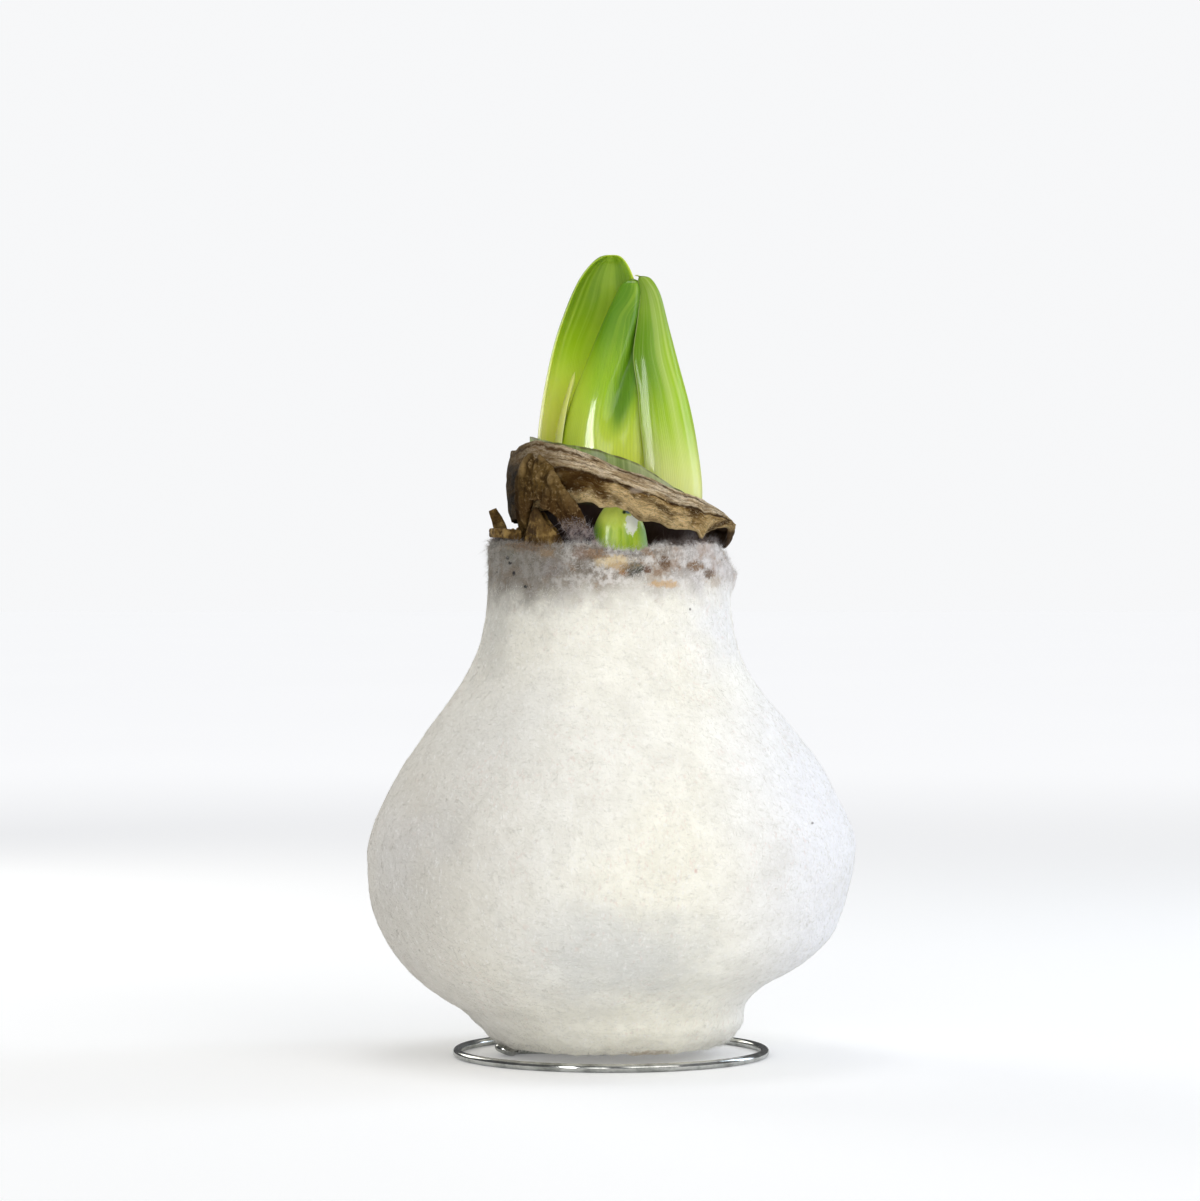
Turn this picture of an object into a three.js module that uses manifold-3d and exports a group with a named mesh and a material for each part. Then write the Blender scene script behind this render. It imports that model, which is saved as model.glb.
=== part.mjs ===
// A waxed amaryllis bulb on its wire stand.
// Units are millimetres, +Z is up and -Y is the front. The origin is on the floor under the bulb's axis.
import * as THREE from 'three';
import { ParametricGeometry } from 'three/addons/geometries/ParametricGeometry.js';
import { mergeVertices } from 'three/addons/utils/BufferGeometryUtils.js';
import Module from 'manifold-3d';

const wasm = await Module();
wasm.setup();

const { degToRad, lerp, radToDeg, smoothstep } = THREE.MathUtils;
const FULL_TURN = 2 * Math.PI;

// ---- Driving dimensions ----

const GAP = 0.3; // air left between pieces that touch on the real thing
const SKIN_GAP = 0.6; // the same between the coat and the bulb, whose facets don't match

// Wire stand: one wire bent into a ring, a hairpin under the bulb and a pin that goes up into it
const WIRE = 1.8; // thickness of the wire
const WIRE_SIDES = 8;
const RING_RADIUS = 32.7; // to the middle of the wire
const RING_START = 107; // degrees from +X, at the back
const RING_END = 430;
const RING_STEP = 17;
const UNDER_BULB = [ // the wire's way from the end of the ring to the foot of the pin, in [x, y, lift]
  [5.6, 29.6, 0],
  [-1, 25.2, 0],
  [-9, 17, 0],
  [-17, 9, 0],
  [-21.6, 4.3, 0.3],
  [-23.4, 1.4, 0.8],
  [-23.7, -1.6, 1],
  [-23.2, -2.75, 0.9],
  [-22.25, -3.15, 0.5],
  [-21.3, -2.75, 0.15],
  [-20.8, -1.6, 0.05],
  [-20.3, 0.6, 0.05],
  [-18.6, 2.1, 0.05],
  [-15.5, 2.3, 0.05],
  [-9, 1.3, 0.05],
  [-3, 0.2, 0.09],
];
const PIN_TOP = 24;
const PIN_BEND = 1.6; // radius of the bend at the pin's foot
const PIN_HOLE = 1.6; // radius of the hole in the coat and the bulb

// Wax coat, with rows of [height, reach to the left, reach to the right] from the pin hole to the rim
const COAT_WALL = 2.4;
const COAT_RIM = 108;
const COAT_AROUND = 36;
const COAT_ALONG = 21;
const COAT_OUTLINE = [
  [2.2, 1.6, 1.6],
  [2.2, 14, 14],
  [2.25, 19.4, 19.6],
  [2.6, 22.4, 22.8],
  [4.2, 25.6, 25.8],
  [7.2, 28.9, 27.9],
  [9.8, 31.4, 28.2],
  [12.5, 35.8, 29.4],
  [16.1, 40.7, 33.6],
  [20.4, 44.8, 41.2],
  [26, 48.2, 47],
  [33.1, 50.9, 49.8],
  [41.6, 51.7, 51.6],
  [47.5, 51, 51.2],
  [54.3, 47.9, 48.1],
  [62.8, 43.2, 43.7],
  [71.2, 37.4, 37.3],
  [79.7, 31.2, 30],
  [88.2, 27.4, 26.4],
  [96.7, 26.3, 25.2],
  [COAT_RIM, 25.9, 24.7],
];
const RIM_DIPS = [ // where the ragged rim stands up or dips, in rows of [turn, width, height]
  [8, 26, -2.6],
  [185, 40, 1.8],
];
const NECK_KNOB = { turn: -4, width: 17, height: 101.9, tall: 3.4, out: 1.9 };

// Neck of the bulb: a rim round a cup that the shoots stand in
const NECK_X = -0.6;
const NECK_LEDGE = 98; // the dry scales stand on this ledge
const NECK_RIM = 104.5;
const RIM_RADIUS = 21;
const CUP_RADIUS = 18.9;
const CUP_FLOOR = 96.5;

// Dry scales at the rim
const SCALE_OUTER = 22.5;
const SCALE_WALL = 1.1;
const SCALE_CREST = 106;
const SCALE_TATTERS = [ // where they stand up most, in rows of [turn, width, height]
  [95, 20, 1.6],
  [142, 14, 7],
  [184, 26, 5.4],
  [226, 7, 7.6],
  [237, 9, 5],
  [356, 7, 2.4],
];
const SCALE_CURL = [ // a curl of scale that lies on the rim of the coat, in rows of [x, y, z, half width]
  [-21.95, 5.3, 110.8, 0.9],
  [-24.9, 0.85, 110.9, 0.95],
  [-24.7, -5.1, 110.9, 1],
  [-22.4, -10.6, 110.8, 1],
  [-18.9, -13.3, 110.4, 1.1],
];
const SCALE_TATTER = [ // a torn plate that leans out at the left, in the same rows
  [-22.9, -5.3, 110.6, 1.3],
  [-23.5, -5.4, 112.4, 1.35],
  [-25, -5.7, 115.8, 0.9],
];
const TATTER_FACING = [-0.35, -0.94, 0];

// Torn collar that the shoots have lifted, with rows of [turn in degrees, top, bottom]
const COLLAR_CENTRE = [2.05, -1.5];
const COLLAR_REACH = [23.2, 20]; // half width and half depth
const COLLAR_WALL = 1.3;
const COLLAR_BULGE = 1.1;
const COLLAR_EDGES = [
  [0, 112.9, 109.6],
  [20, 113.6, 107.6],
  [60, 117.6, 110],
  [90, 121.4, 112],
  [130, 126, 113],
  [165, 128.2, 113],
  [190, 128.8, 113.4],
  [212, 129.8, 114.5],
  [235, 129.4, 115.8],
  [255, 127, 117.2],
  [270, 124.4, 116.1],
  [285, 122.3, 113.3],
  [300, 119.8, 111.5],
  [315, 118, 110.6],
  [330, 116.1, 111.5],
  [347, 113.9, 112],
  [360, 112.9, 109.6],
];

// The strap that still holds the collar: a flap that splits into two legs.
// Its strips are in rows of [x, y, z, half width].
const STRAP = [
  [
    [-17.3, -13.4, 126.8, 1.2],
    [-15.6, -16.2, 124.2, 3.4],
    [-14.5, -17.9, 121.4, 4.6],
    [-13.9, -18.8, 118.6, 5.6],
    [-13.7, -19.1, 116.6, 5.9],
  ],
  [
    [-10.6, -18.8, 120.5, 2.2],
    [-9.6, -20, 117.2, 2.6],
    [-7.2, -21.2, 113.2, 2.5],
    [-6.2, -21.2, 110.7, 2.4],
    [-4.4, -19.8, 107.7, 2.3],
    [-4.2, -19.5, 104.9, 2.6],
  ],
  [
    [-18.4, -14.8, 119, 1.7],
    [-20.1, -11.4, 114, 1.6],
    [-19.2, -8.2, 108.5, 1.6],
    [-18.6, -7.6, 104.9, 1.8],
  ],
];
const STRAP_THICKNESS = 1.2;

// Shoot: leaves that wrap a slightly leaning axis, one inside another.
// Their rows are [height, middle, half width], and they span the turns from and to.
// Near its tip a leaf may open to another turn, between two heights: [turn, height, height].
const SHOOT_Y = 1.5;
const SHOOT_BASE = 97.2;
const LEAF_THICKNESS = 1;
const FURROW_DEPTH = 0.7;
const FURROW_WIDTH = 13; // degrees
const LEAVES = {
  leaf_front_right: {
    rows: [
      [SHOOT_BASE, 0.9, 15.2],
      [109, 0.9, 15.4],
      [115, 1.9, 16.6],
      [120, 2.3, 16.6],
      [130.2, 2.5, 15.1],
      [137.8, 2.7, 13.4],
      [146.3, 3.3, 10.5],
      [155, 4.1, 7.4],
      [161.8, 5.2, 4.5],
      [164.2, 5.2, 3.2],
      [165.1, 5.7, 1.9],
      [165.5, 6.4, 0],
    ],
    depth: 0.58,
    from: -75,
    to: 60,
    color: 0x9bc43a,
  },
  leaf_front_left: {
    rows: [
      [SHOOT_BASE, 0.9, 12],
      [112, 1.9, 13.2],
      [120, 2.3, 13.2],
      [130.2, 2.4, 12.5],
      [137.8, 2.6, 10.9],
      [146.3, 3.1, 8.2],
      [155, 4, 5.6],
      [161.8, 4.8, 3.2],
      [163.8, 4.8, 2],
      [164.8, 4.7, 0],
    ],
    depth: 0.5,
    from: 70,
    to: 300,
    tipTo: [345, 156, 163],
    furrow: [250, 298],
    color: 0x8dbd2c,
  },
  leaf_inner: {
    rows: [
      [SHOOT_BASE, 0.5, 13.4],
      [112, 1.2, 14.2],
      [122, 1.6, 14.1],
      [130, 1.6, 13.2],
      [137, 1.8, 11.9],
      [142.5, 1.9, 10.4],
      [145, 2, 9.8],
    ],
    depth: 0.56,
    from: 148,
    to: 206,
    pointed: true,
    color: 0xc3d98a,
  },
  leaf_back: {
    rows: [
      [SHOOT_BASE, 0.5, 15],
      [109, 0.5, 15],
      [116, 0.4, 15.8],
      [122, 0.4, 15.9],
      [131.2, 0.3, 15.5],
      [141.4, 0, 13.9],
      [153.3, -0.3, 10.9],
      [163.9, -0.6, 6.6],
      [168.2, -0.6, 3.8],
      [169.8, -0.6, 0],
    ],
    depth: 0.64,
    from: 62,
    to: 188,
    tipFrom: [25, 148, 163],
    color: 0xa9cf45,
  },
};

// Thin inner scale that sheathes the foot of the shoot, with rows as for the leaves
const SHEATH_WALL = 0.8;
const SHEATH_DEPTH = 0.66;
const SHEATH_ROWS = [
  [SHOOT_BASE, 0.8, 17],
  [109, 0.8, 17.2],
  [115, 1.8, 19],
  [120, 2, 19.3],
  [132, 1, 18.2],
];

// Second shoot, still a bud, in rows of [radius, height]
const BUD_PLACE = [1.7, -14.85];
const BUD_DEPTH = 0.55; // depth over width
const BUD_ROWS = [
  [0, SHOOT_BASE],
  [5.4, SHOOT_BASE],
  [6.1, 103],
  [6, 108],
  [5.3, 112],
  [4.2, 114.6],
  [2.9, 116.4],
  [1.4, 117.5],
  [0, 117.9],
];

// Tip of a third bud, which comes up through the rim of the neck
const TIP_PLACE = [18.9, -8];
const TIP_RADIUS = 1.3;
const TIP_BASE = 101;
const TIP_TOP = 108.6;

// ---- Helpers ----

// A mesh as one solid for cutting and joining
function solidOf(geometry) {
  const bare = geometry.clone();
  bare.deleteAttribute('normal');
  bare.deleteAttribute('uv');
  const merged = mergeVertices(bare, 1e-3);
  return new wasm.Manifold(new wasm.Mesh({
    numProp: 3,
    vertProperties: merged.attributes.position.array,
    triVerts: new Uint32Array(merged.index.array),
  }));
}

// A cut or joined solid back as a geometry
function geometryOf(solid) {
  const made = solid.getMesh();
  const geometry = new THREE.BufferGeometry();
  geometry.setAttribute('position', new THREE.BufferAttribute(made.vertProperties, 3));
  geometry.setIndex(new THREE.BufferAttribute(made.triVerts, 1));
  geometry.computeVertexNormals();
  return geometry;
}

// A round solid on the Z axis from rows of [radius, height]
function turned(rows, segments) {
  const profile = rows.map(([radius, height]) => new THREE.Vector2(radius, height));
  return new THREE.LatheGeometry(profile, segments).rotateX(Math.PI / 2);
}

// A standing ring wall. face(turn, rise, depth, target) gives a point of the wall
// at a turn round the axis, a rise from 0 to 1, and a depth in from the outer face.
function ringWall(face, wall, around, along) {
  const loop = 2 * along + 2;
  return new ParametricGeometry((u, v, target) => {
    const step = Math.round(v * loop) % loop;
    const outside = step <= along;
    const rise = (outside ? step : loop - 1 - step) / along;
    face(FULL_TURN * (u % 1), rise, outside ? 0 : wall, target);
  }, around, loop);
}

// A thin blade, closed at its edges and tip. face(across, rise, lift, target) gives a point
// at across and rise from 0 to 1, lifted off the middle of the blade.
function blade(face, thickness, across, along) {
  const loop = 2 * along + 2;
  return new ParametricGeometry((u, v, target) => {
    const step = Math.round(v * loop) % loop;
    const outside = step <= along;
    const rise = (outside ? step : loop - 1 - step) / along;
    const body = (1 - Math.abs(2 * u - 1) ** 6) * (1 - rise ** 12);
    face(u, rise, (outside ? 0.5 : -0.5) * thickness * body, target);
  }, across, loop);
}

// A strip along rows of [x, y, z, half width], flat across the way that it faces,
// which is out from the neck unless another is given
function strip(rows, thickness, across, along, facing) {
  const path = curveOf(rows.map(([x, y, z]) => [x, y, z]));
  const widths = curveOf(rows.map(([, , , halfWidth], row) => [halfWidth, row, 0]));
  return blade((share, rise, lift, target) => {
    const middle = path.getPoint(rise);
    const out = facing ? new THREE.Vector3(...facing) : new THREE.Vector3(middle.x - NECK_X, middle.y, 0);
    out.normalize();
    const side = path.getTangent(rise).cross(out).normalize();
    target.copy(middle)
      .addScaledVector(side, (2 * share - 1) * widths.getPoint(rise).x)
      .addScaledVector(out, lift);
  }, thickness, across, along);
}

// A smooth curve through rows of three numbers
function curveOf(rows) {
  return new THREE.CatmullRomCurve3(rows.map((row) => new THREE.Vector3(...row)));
}

// The values between two rows of a table, whose first column is what it is read by
function rowAt(rows, at) {
  const after = Math.max(1, rows.findIndex(([key]) => key > at));
  const [start, ...before] = rows[after - 1];
  const [end, ...next] = rows[after];
  return before.map((value, column) => lerp(value, next[column], (at - start) / (end - start)));
}

// A bump that is 1 at its middle and fades out over its width, both in degrees
function bump(turn, middle, width) {
  const away = Math.abs((radToDeg(turn) - middle + 540) % 360 - 180);
  return Math.exp(-((away / width) ** 2));
}

// The sum of several bumps, in rows of [middle, width, height]
function bumps(turn, rows) {
  return rows.reduce((sum, [middle, width, height]) => sum + height * bump(turn, middle, width), 0);
}

function piece(name, geometry, color, roughness, metalness = 0) {
  const material = new THREE.MeshStandardMaterial({ color, roughness, metalness });
  const mesh = new THREE.Mesh(geometry, material);
  mesh.name = name;
  return mesh;
}

// ---- Wire stand ----

// A path whose steps are even between its points, so that tight bends get as many as long runs
class WirePath extends THREE.CatmullRomCurve3 {
  getPointAt(u, target) {
    return this.getPoint(u, target);
  }

  getTangentAt(u, target) {
    return this.getTangent(u, target);
  }
}

function wireStand() {
  const lying = WIRE / 2;
  const points = [];
  for (let turn = RING_START; turn <= RING_END; turn += RING_STEP) {
    const angle = degToRad(turn);
    points.push([RING_RADIUS * Math.cos(angle), RING_RADIUS * Math.sin(angle), lying]);
  }
  for (const [x, y, lift] of UNDER_BULB) points.push([x, y, lying + lift]);
  for (const share of [0, 0.5, 1]) {
    const angle = share * Math.PI / 2;
    points.push([PIN_BEND * (Math.sin(angle) - 1), 0, lying + PIN_BEND * (1 - Math.cos(angle))]);
  }
  points.push([0, 0, lying + 2 * PIN_BEND], [0, 0, PIN_TOP]);
  const path = new WirePath(points.map((point) => new THREE.Vector3(...point)));
  const section = new THREE.Shape();
  const corner = WIRE / 2 / Math.cos(Math.PI / WIRE_SIDES);
  for (let side = 0; side < WIRE_SIDES; side++) {
    const angle = (side + 0.5) * FULL_TURN / WIRE_SIDES;
    const x = corner * Math.cos(angle);
    const y = corner * Math.sin(angle);
    if (side === 0) section.moveTo(x, y);
    else section.lineTo(x, y);
  }
  const steps = 2 * (points.length - 1);
  return new THREE.ExtrudeGeometry(section, { steps, extrudePath: path, bevelEnabled: false });
}

// ---- Wax coat ----

const coatCurve = curveOf(COAT_OUTLINE.map(([height, left, right]) => [left, right, height]));

// Soft hollows and swellings of the hand-dipped coat
function coatLumps(turn, height) {
  const belly = smoothstep(height, 10, 30) * (1 - smoothstep(height, 78, 100));
  const waves = 0.5 * Math.sin(3 * turn + 0.09 * height) + 0.35 * Math.sin(5 * turn - 0.12 * height + 2);
  const upKnob = Math.exp(-(((height - NECK_KNOB.height) / NECK_KNOB.tall) ** 2));
  const knob = NECK_KNOB.out * upKnob * bump(turn, NECK_KNOB.turn, NECK_KNOB.width);
  return belly * waves * Math.abs(Math.sin(turn)) + knob;
}

// How far the ragged rim stands above or below its mean height
function rimRaggedness(turn) {
  return 0.7 * Math.sin(3 * turn + 0.4) + 0.5 * Math.sin(7 * turn + 1.1) + bumps(turn, RIM_DIPS);
}

function coatPoint(turn, along, depth, target) {
  const outline = coatCurve.getPointAt(along);
  const run = coatCurve.getTangentAt(along);
  const toRight = (1 + Math.cos(turn)) / 2;
  const spread = lerp(run.x, run.y, toRight);
  const steep = Math.hypot(spread, run.z);
  const ragged = rimRaggedness(turn) * smoothstep(outline.z, COAT_RIM - 10, COAT_RIM);
  const radius = lerp(outline.x, outline.y, toRight) + coatLumps(turn, outline.z)
    - depth * run.z / steep;
  target.set(
    radius * Math.cos(turn),
    radius * Math.sin(turn),
    outline.z + ragged + depth * spread / steep,
  );
}

// ---- Bulb ----

function bulb() {
  const depth = COAT_WALL + SKIN_GAP;
  const tall = 240;
  const wide = 60;
  const skin = new ParametricGeometry((u, v, target) => {
    coatPoint(FULL_TURN * (u % 1), v, depth, target);
    if (v === 0) target.set(0, 0, COAT_OUTLINE[0][0] + depth);
    if (v === 1) target.set(0, 0, tall);
  }, COAT_AROUND, COAT_ALONG);
  const outsideNeck = turned([
    [RIM_RADIUS, NECK_LEDGE],
    [wide, NECK_LEDGE],
    [wide, tall],
    [RIM_RADIUS, tall],
    [RIM_RADIUS, NECK_LEDGE],
  ], 40);
  const aboveRim = turned([[0, NECK_RIM], [wide, NECK_RIM], [wide, tall], [0, tall]], 40);
  const cup = turned([[0, CUP_FLOOR], [CUP_RADIUS, CUP_FLOOR], [CUP_RADIUS, tall], [0, tall]], 40);
  const pinHole = turned([[0, -1], [PIN_HOLE, -1], [PIN_HOLE, PIN_TOP + GAP], [0, PIN_TOP + GAP]], 16);
  let solid = solidOf(skin);
  for (const cut of [outsideNeck, aboveRim, cup]) {
    solid = solid.subtract(solidOf(cut.translate(NECK_X, 0, 0)));
  }
  return geometryOf(solid.subtract(solidOf(pinHole)).subtract(tipHole()));
}

// ---- Dry scales at the rim ----

// Height of the scales' torn edge: a ragged crown with a few taller tatters
function scaleTop(turn) {
  const frayed = 0.6 * Math.sin(5 * turn) + 0.5 * Math.sin(11 * turn + 1);
  return SCALE_CREST + frayed + bumps(turn, SCALE_TATTERS);
}

function neckScales() {
  const ring = ringWall((turn, rise, depth, target) => {
    const radius = SCALE_OUTER - depth;
    const height = lerp(NECK_LEDGE + GAP, scaleTop(turn), rise);
    target.set(NECK_X + radius * Math.cos(turn), radius * Math.sin(turn), height);
  }, SCALE_WALL, 44, 4);
  const curl = strip(SCALE_CURL, SCALE_WALL, 4, 10);
  const tatter = strip(SCALE_TATTER, SCALE_WALL, 3, 5, TATTER_FACING);
  return geometryOf(solidOf(ring).add(solidOf(curl)).add(solidOf(tatter)).subtract(tipHole()));
}

// ---- Torn collar ----

function dryCollar() {
  const band = ringWall((turn, rise, depth, target) => {
    const [top, bottom] = rowAt(COLLAR_EDGES, radToDeg(turn));
    const leathery = COLLAR_BULGE * Math.sin(Math.PI * rise) + 0.35 * Math.sin(9 * turn + 5 * rise);
    const out = leathery - depth;
    target.set(
      COLLAR_CENTRE[0] + (COLLAR_REACH[0] + out) * Math.cos(turn),
      COLLAR_CENTRE[1] + (COLLAR_REACH[1] + out) * Math.sin(turn),
      lerp(bottom, top, rise),
    );
  }, COLLAR_WALL, 48, 4);
  let solid = solidOf(band);
  for (const rows of STRAP) solid = solid.add(solidOf(strip(rows, STRAP_THICKNESS, 4, 9)));
  return geometryOf(solid);
}

// ---- Leaves and buds ----

function leaf({ rows, depth, from, to, tipFrom, tipTo, furrow, pointed }) {
  const spine = curveOf(rows);
  const opened = (turn, tip, height) => (
    tip ? lerp(turn, tip[0], smoothstep(height, tip[1], tip[2])) : turn
  );
  return blade((across, rise, lift, target) => {
    const { x: height, y: middle, z: halfWidth } = spine.getPoint(rise);
    const spread = pointed ? 1 - rise ** 3 : 1;
    const start = opened(from, tipFrom, height);
    const end = opened(to, tipTo, height);
    const turn = degToRad(lerp(start, end, 0.5 + (across - 0.5) * spread));
    const fold = furrow ? FURROW_DEPTH * bump(turn, lerp(...furrow, rise), FURROW_WIDTH) : 0;
    const reach = lift - fold * Math.min(1, halfWidth / 5);
    target.set(
      middle + (halfWidth + reach) * Math.cos(turn),
      SHOOT_Y + (halfWidth * depth + reach) * Math.sin(turn),
      height,
    );
  }, LEAF_THICKNESS, 10, 12);
}

function innerSheath() {
  return ringWall((turn, rise, depth, target) => {
    const top = 124 - 7.3 * Math.cos(turn) + 2.6 * bump(turn, 265, 35);
    const height = lerp(SHOOT_BASE, top, rise);
    const [middle, halfWidth] = rowAt(SHEATH_ROWS, height);
    target.set(
      middle + (halfWidth - depth) * Math.cos(turn),
      SHOOT_Y + (SHEATH_DEPTH * halfWidth - depth) * Math.sin(turn),
      height,
    );
  }, SHEATH_WALL, 32, 6);
}

function sideBud() {
  return turned(BUD_ROWS, 24).scale(1, BUD_DEPTH, 1).translate(...BUD_PLACE, 0);
}

function rimBud() {
  const rows = [[0, TIP_BASE]];
  for (let step = 0; step <= 5; step++) {
    const share = step / 5;
    rows.push([TIP_RADIUS * Math.sqrt(1 - share ** 3), lerp(TIP_BASE, TIP_TOP, share)]);
  }
  return turned(rows, 12).translate(...TIP_PLACE, 0);
}

// The hole that the third bud comes up through
function tipHole() {
  const radius = TIP_RADIUS + GAP;
  const floor = TIP_BASE - GAP;
  const open = 2 * TIP_TOP;
  return solidOf(turned([[0, floor], [radius, floor], [radius, open], [0, open]], 12)
    .translate(...TIP_PLACE, 0));
}

const bulbOnStand = new THREE.Group();
bulbOnStand.add(
  piece('wire_stand', wireStand(), 0x8d8f8c, 0.28, 1),
  piece('wax_coat', ringWall(coatPoint, COAT_WALL, COAT_AROUND, COAT_ALONG), 0xebe9e0, 0.9),
  piece('bulb', bulb(), 0x8a6a45, 0.75),
  piece('neck_scales', neckScales(), 0x8a6a45, 0.8),
  piece('dry_collar', dryCollar(), 0x8c6e46, 0.7),
  piece('inner_scale', innerSheath(), 0x8f9a6c, 0.5),
  piece('side_bud', sideBud(), 0x9ec73a, 0.35),
  piece('rim_bud', rimBud(), 0xbfcfa0, 0.5),
  ...Object.entries(LEAVES).map(([name, shape]) => piece(name, leaf(shape), shape.color, 0.35)),
);

export default bulbOnStand;
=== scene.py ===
# A waxed amaryllis bulb on its wire stand. Settings are in millimetres, finished meshes in metres.
import math

import bmesh
import bpy
import numpy as np
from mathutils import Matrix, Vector, noise


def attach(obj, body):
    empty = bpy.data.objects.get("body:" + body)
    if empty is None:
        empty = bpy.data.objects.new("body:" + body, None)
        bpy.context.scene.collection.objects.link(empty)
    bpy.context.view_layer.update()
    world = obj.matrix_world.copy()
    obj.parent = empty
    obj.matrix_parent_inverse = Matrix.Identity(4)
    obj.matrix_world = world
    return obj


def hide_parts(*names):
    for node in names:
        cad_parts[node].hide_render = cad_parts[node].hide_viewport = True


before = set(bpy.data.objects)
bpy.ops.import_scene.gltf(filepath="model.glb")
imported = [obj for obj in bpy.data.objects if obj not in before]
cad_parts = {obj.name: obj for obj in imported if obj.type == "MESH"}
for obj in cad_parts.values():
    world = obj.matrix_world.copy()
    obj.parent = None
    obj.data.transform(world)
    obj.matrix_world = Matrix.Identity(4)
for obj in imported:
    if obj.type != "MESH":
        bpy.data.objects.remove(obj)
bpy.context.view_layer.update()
mm = 0.001


def mix(a, b, share):
    return a + (b - a) * share


def ease(value, low, high):
    share = min(max((value - low) / (high - low), 0), 1)
    return share * share * (3 - 2 * share)


def bump(turn, middle, width):  # 1 at its middle, fading over its width, in degrees
    away = abs((math.degrees(turn) - middle + 540) % 360 - 180)
    return math.exp(-(away / width) ** 2)


def between(rows, at):  # a row of a table at a value of its first column
    keys = [row[0] for row in rows]
    return [float(np.interp(at, keys, [row[column] for row in rows])) for column in range(1, len(rows[0]))]


def along(rows, share):  # a point on a smooth curve through the rows
    points = np.array(rows, float)
    last = len(points) - 1
    spot = min(max(share, 0), 1) * last
    start = min(int(spot), last - 1)
    weight = spot - start
    before = points[start - 1] if start else 2 * points[0] - points[1]
    after = points[start + 2] if start + 2 <= last else 2 * points[-1] - points[-2]
    quad = [before, points[start], points[start + 1], after]
    gapA, gapB, gapC = [max(float(np.linalg.norm(b - a)) ** 0.5, 1e-4) for a, b in zip(quad, quad[1:])]
    a, b, c, d = quad
    leave = ((b - a) / gapA - (c - a) / (gapA + gapB) + (c - b) / gapB) * gapB
    arrive = ((c - b) / gapB - (d - b) / (gapB + gapC) + (d - c) / gapC) * gapB
    return b + leave * weight + (3 * (c - b) - 2 * leave - arrive) * weight ** 2 \
        + (2 * (b - c) + leave + arrive) * weight ** 3


def grain(x, y, z, size):  # smooth noise from -1 to 1 with lumps of a size
    return noise.noise(Vector((x, y, z)) / size)


def ring(radius, turn, height):  # a point at a turn round the upright axis
    return Vector((radius * math.cos(turn), radius * math.sin(turn), height))


def bumps(turn, rows):  # rows of middle, width and height
    return sum(height * bump(turn, middle, width) for middle, width, height in rows)


def uprights(bm):
    return [e for e in bm.edges if abs(e.verts[0].co.z - e.verts[1].co.z) > 0.5]


# A tube of radius 1 and height 1 in even rings; a closed one joins its top ring to its bottom ring
def unitTube(around, rings, closed=False):
    bm = bmesh.new()
    bmesh.ops.create_cone(bm, cap_ends=False, segments=around, radius1=1, radius2=1, depth=1)
    bmesh.ops.translate(bm, verts=bm.verts, vec=(0, 0, 0.5))
    bmesh.ops.subdivide_edges(bm, edges=uprights(bm), cuts=rings - 1, use_grid_fill=True)
    if closed:
        bmesh.ops.bridge_loops(bm, edges=[e for e in bm.edges if e.is_boundary])
    return bm


# A closed tube that becomes a wall: rings up its outside, then rings down its inside
def wallTube(around, outer, inner):
    return unitTube(around, outer + inner + 1, closed=True)


def wallSpot(at, outer, inner):  # a point's turn, its share of the rise, and whether it is outside
    loop = outer + inner + 1
    step = round(at.z * loop)
    outside = step <= outer
    return math.atan2(at.y, at.x), step / outer if outside else (loop - step) / inner, outside


# A flat sheet from 0 to 1 both ways
def unitSheet(across, rise):
    bm = bmesh.new()
    bmesh.ops.create_grid(bm, x_segments=across, y_segments=rise, size=0.5)
    bmesh.ops.translate(bm, verts=bm.verts, vec=(0.5, 0.5, 0))
    return bm


# Moves every vertex to what place() gives for it: a point, a flow coordinate, a relief and a body
def shape(bm, place):
    flow = bm.verts.layers.float_vector.new("flow")
    relief = bm.verts.layers.float.new("relief")
    body = bm.verts.layers.deform.verify()
    for vert in bm.verts:
        point, flowing, high, thick = place(vert.co.copy())
        vert.co = point
        vert[flow] = flowing
        vert[relief] = high
        vert[body][0] = thick


def newObject(name, data):
    made = bpy.data.objects.new(name, data)
    bpy.context.scene.collection.objects.link(made)
    return made


def meshFrom(name, bm):
    mesh = bpy.data.meshes.new(name)
    bm.to_mesh(mesh)
    bm.free()
    return mesh


def bakedMesh(thing):  # with its modifiers applied, or its bevel on a curve
    bpy.context.view_layer.update()
    return bpy.data.meshes.new_from_object(thing.evaluated_get(bpy.context.evaluated_depsgraph_get()))


def finishPiece(name, bm, material, nodes=(), wall=0):
    bmesh.ops.scale(bm, verts=bm.verts, vec=(mm, mm, mm))
    return dressPiece(name, meshFrom(name, bm), material, nodes, wall)


def dressPiece(name, mesh, material, nodes=(), wall=0):
    piece = newObject(name, mesh)
    mesh.shade_smooth()
    mesh.materials.append(material)
    if wall:
        piece.vertex_groups.new(name="body")
        solid = piece.modifiers.new("wall", "SOLIDIFY")
        solid.thickness = wall * mm
        solid.offset = 0
        solid.vertex_group = "body"
    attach(piece, "root")
    if nodes:
        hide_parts(*nodes)
    return piece


cameraSettings = dict(place=(-2.33, -1000, 110), tiltDown=0.77, lens=141.4, sensorWidth=36, clip=(0.01, 100))


def setCamera():
    data = bpy.data.cameras.new("camera")
    data.lens = cameraSettings["lens"]
    data.sensor_width = cameraSettings["sensorWidth"]
    data.clip_start, data.clip_end = cameraSettings["clip"]
    camera = newObject("camera", data)
    camera.location = Vector(cameraSettings["place"]) * mm
    camera.rotation_euler = (math.radians(90 - cameraSettings["tiltDown"]), 0, 0)
    bpy.context.scene.camera = camera


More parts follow.
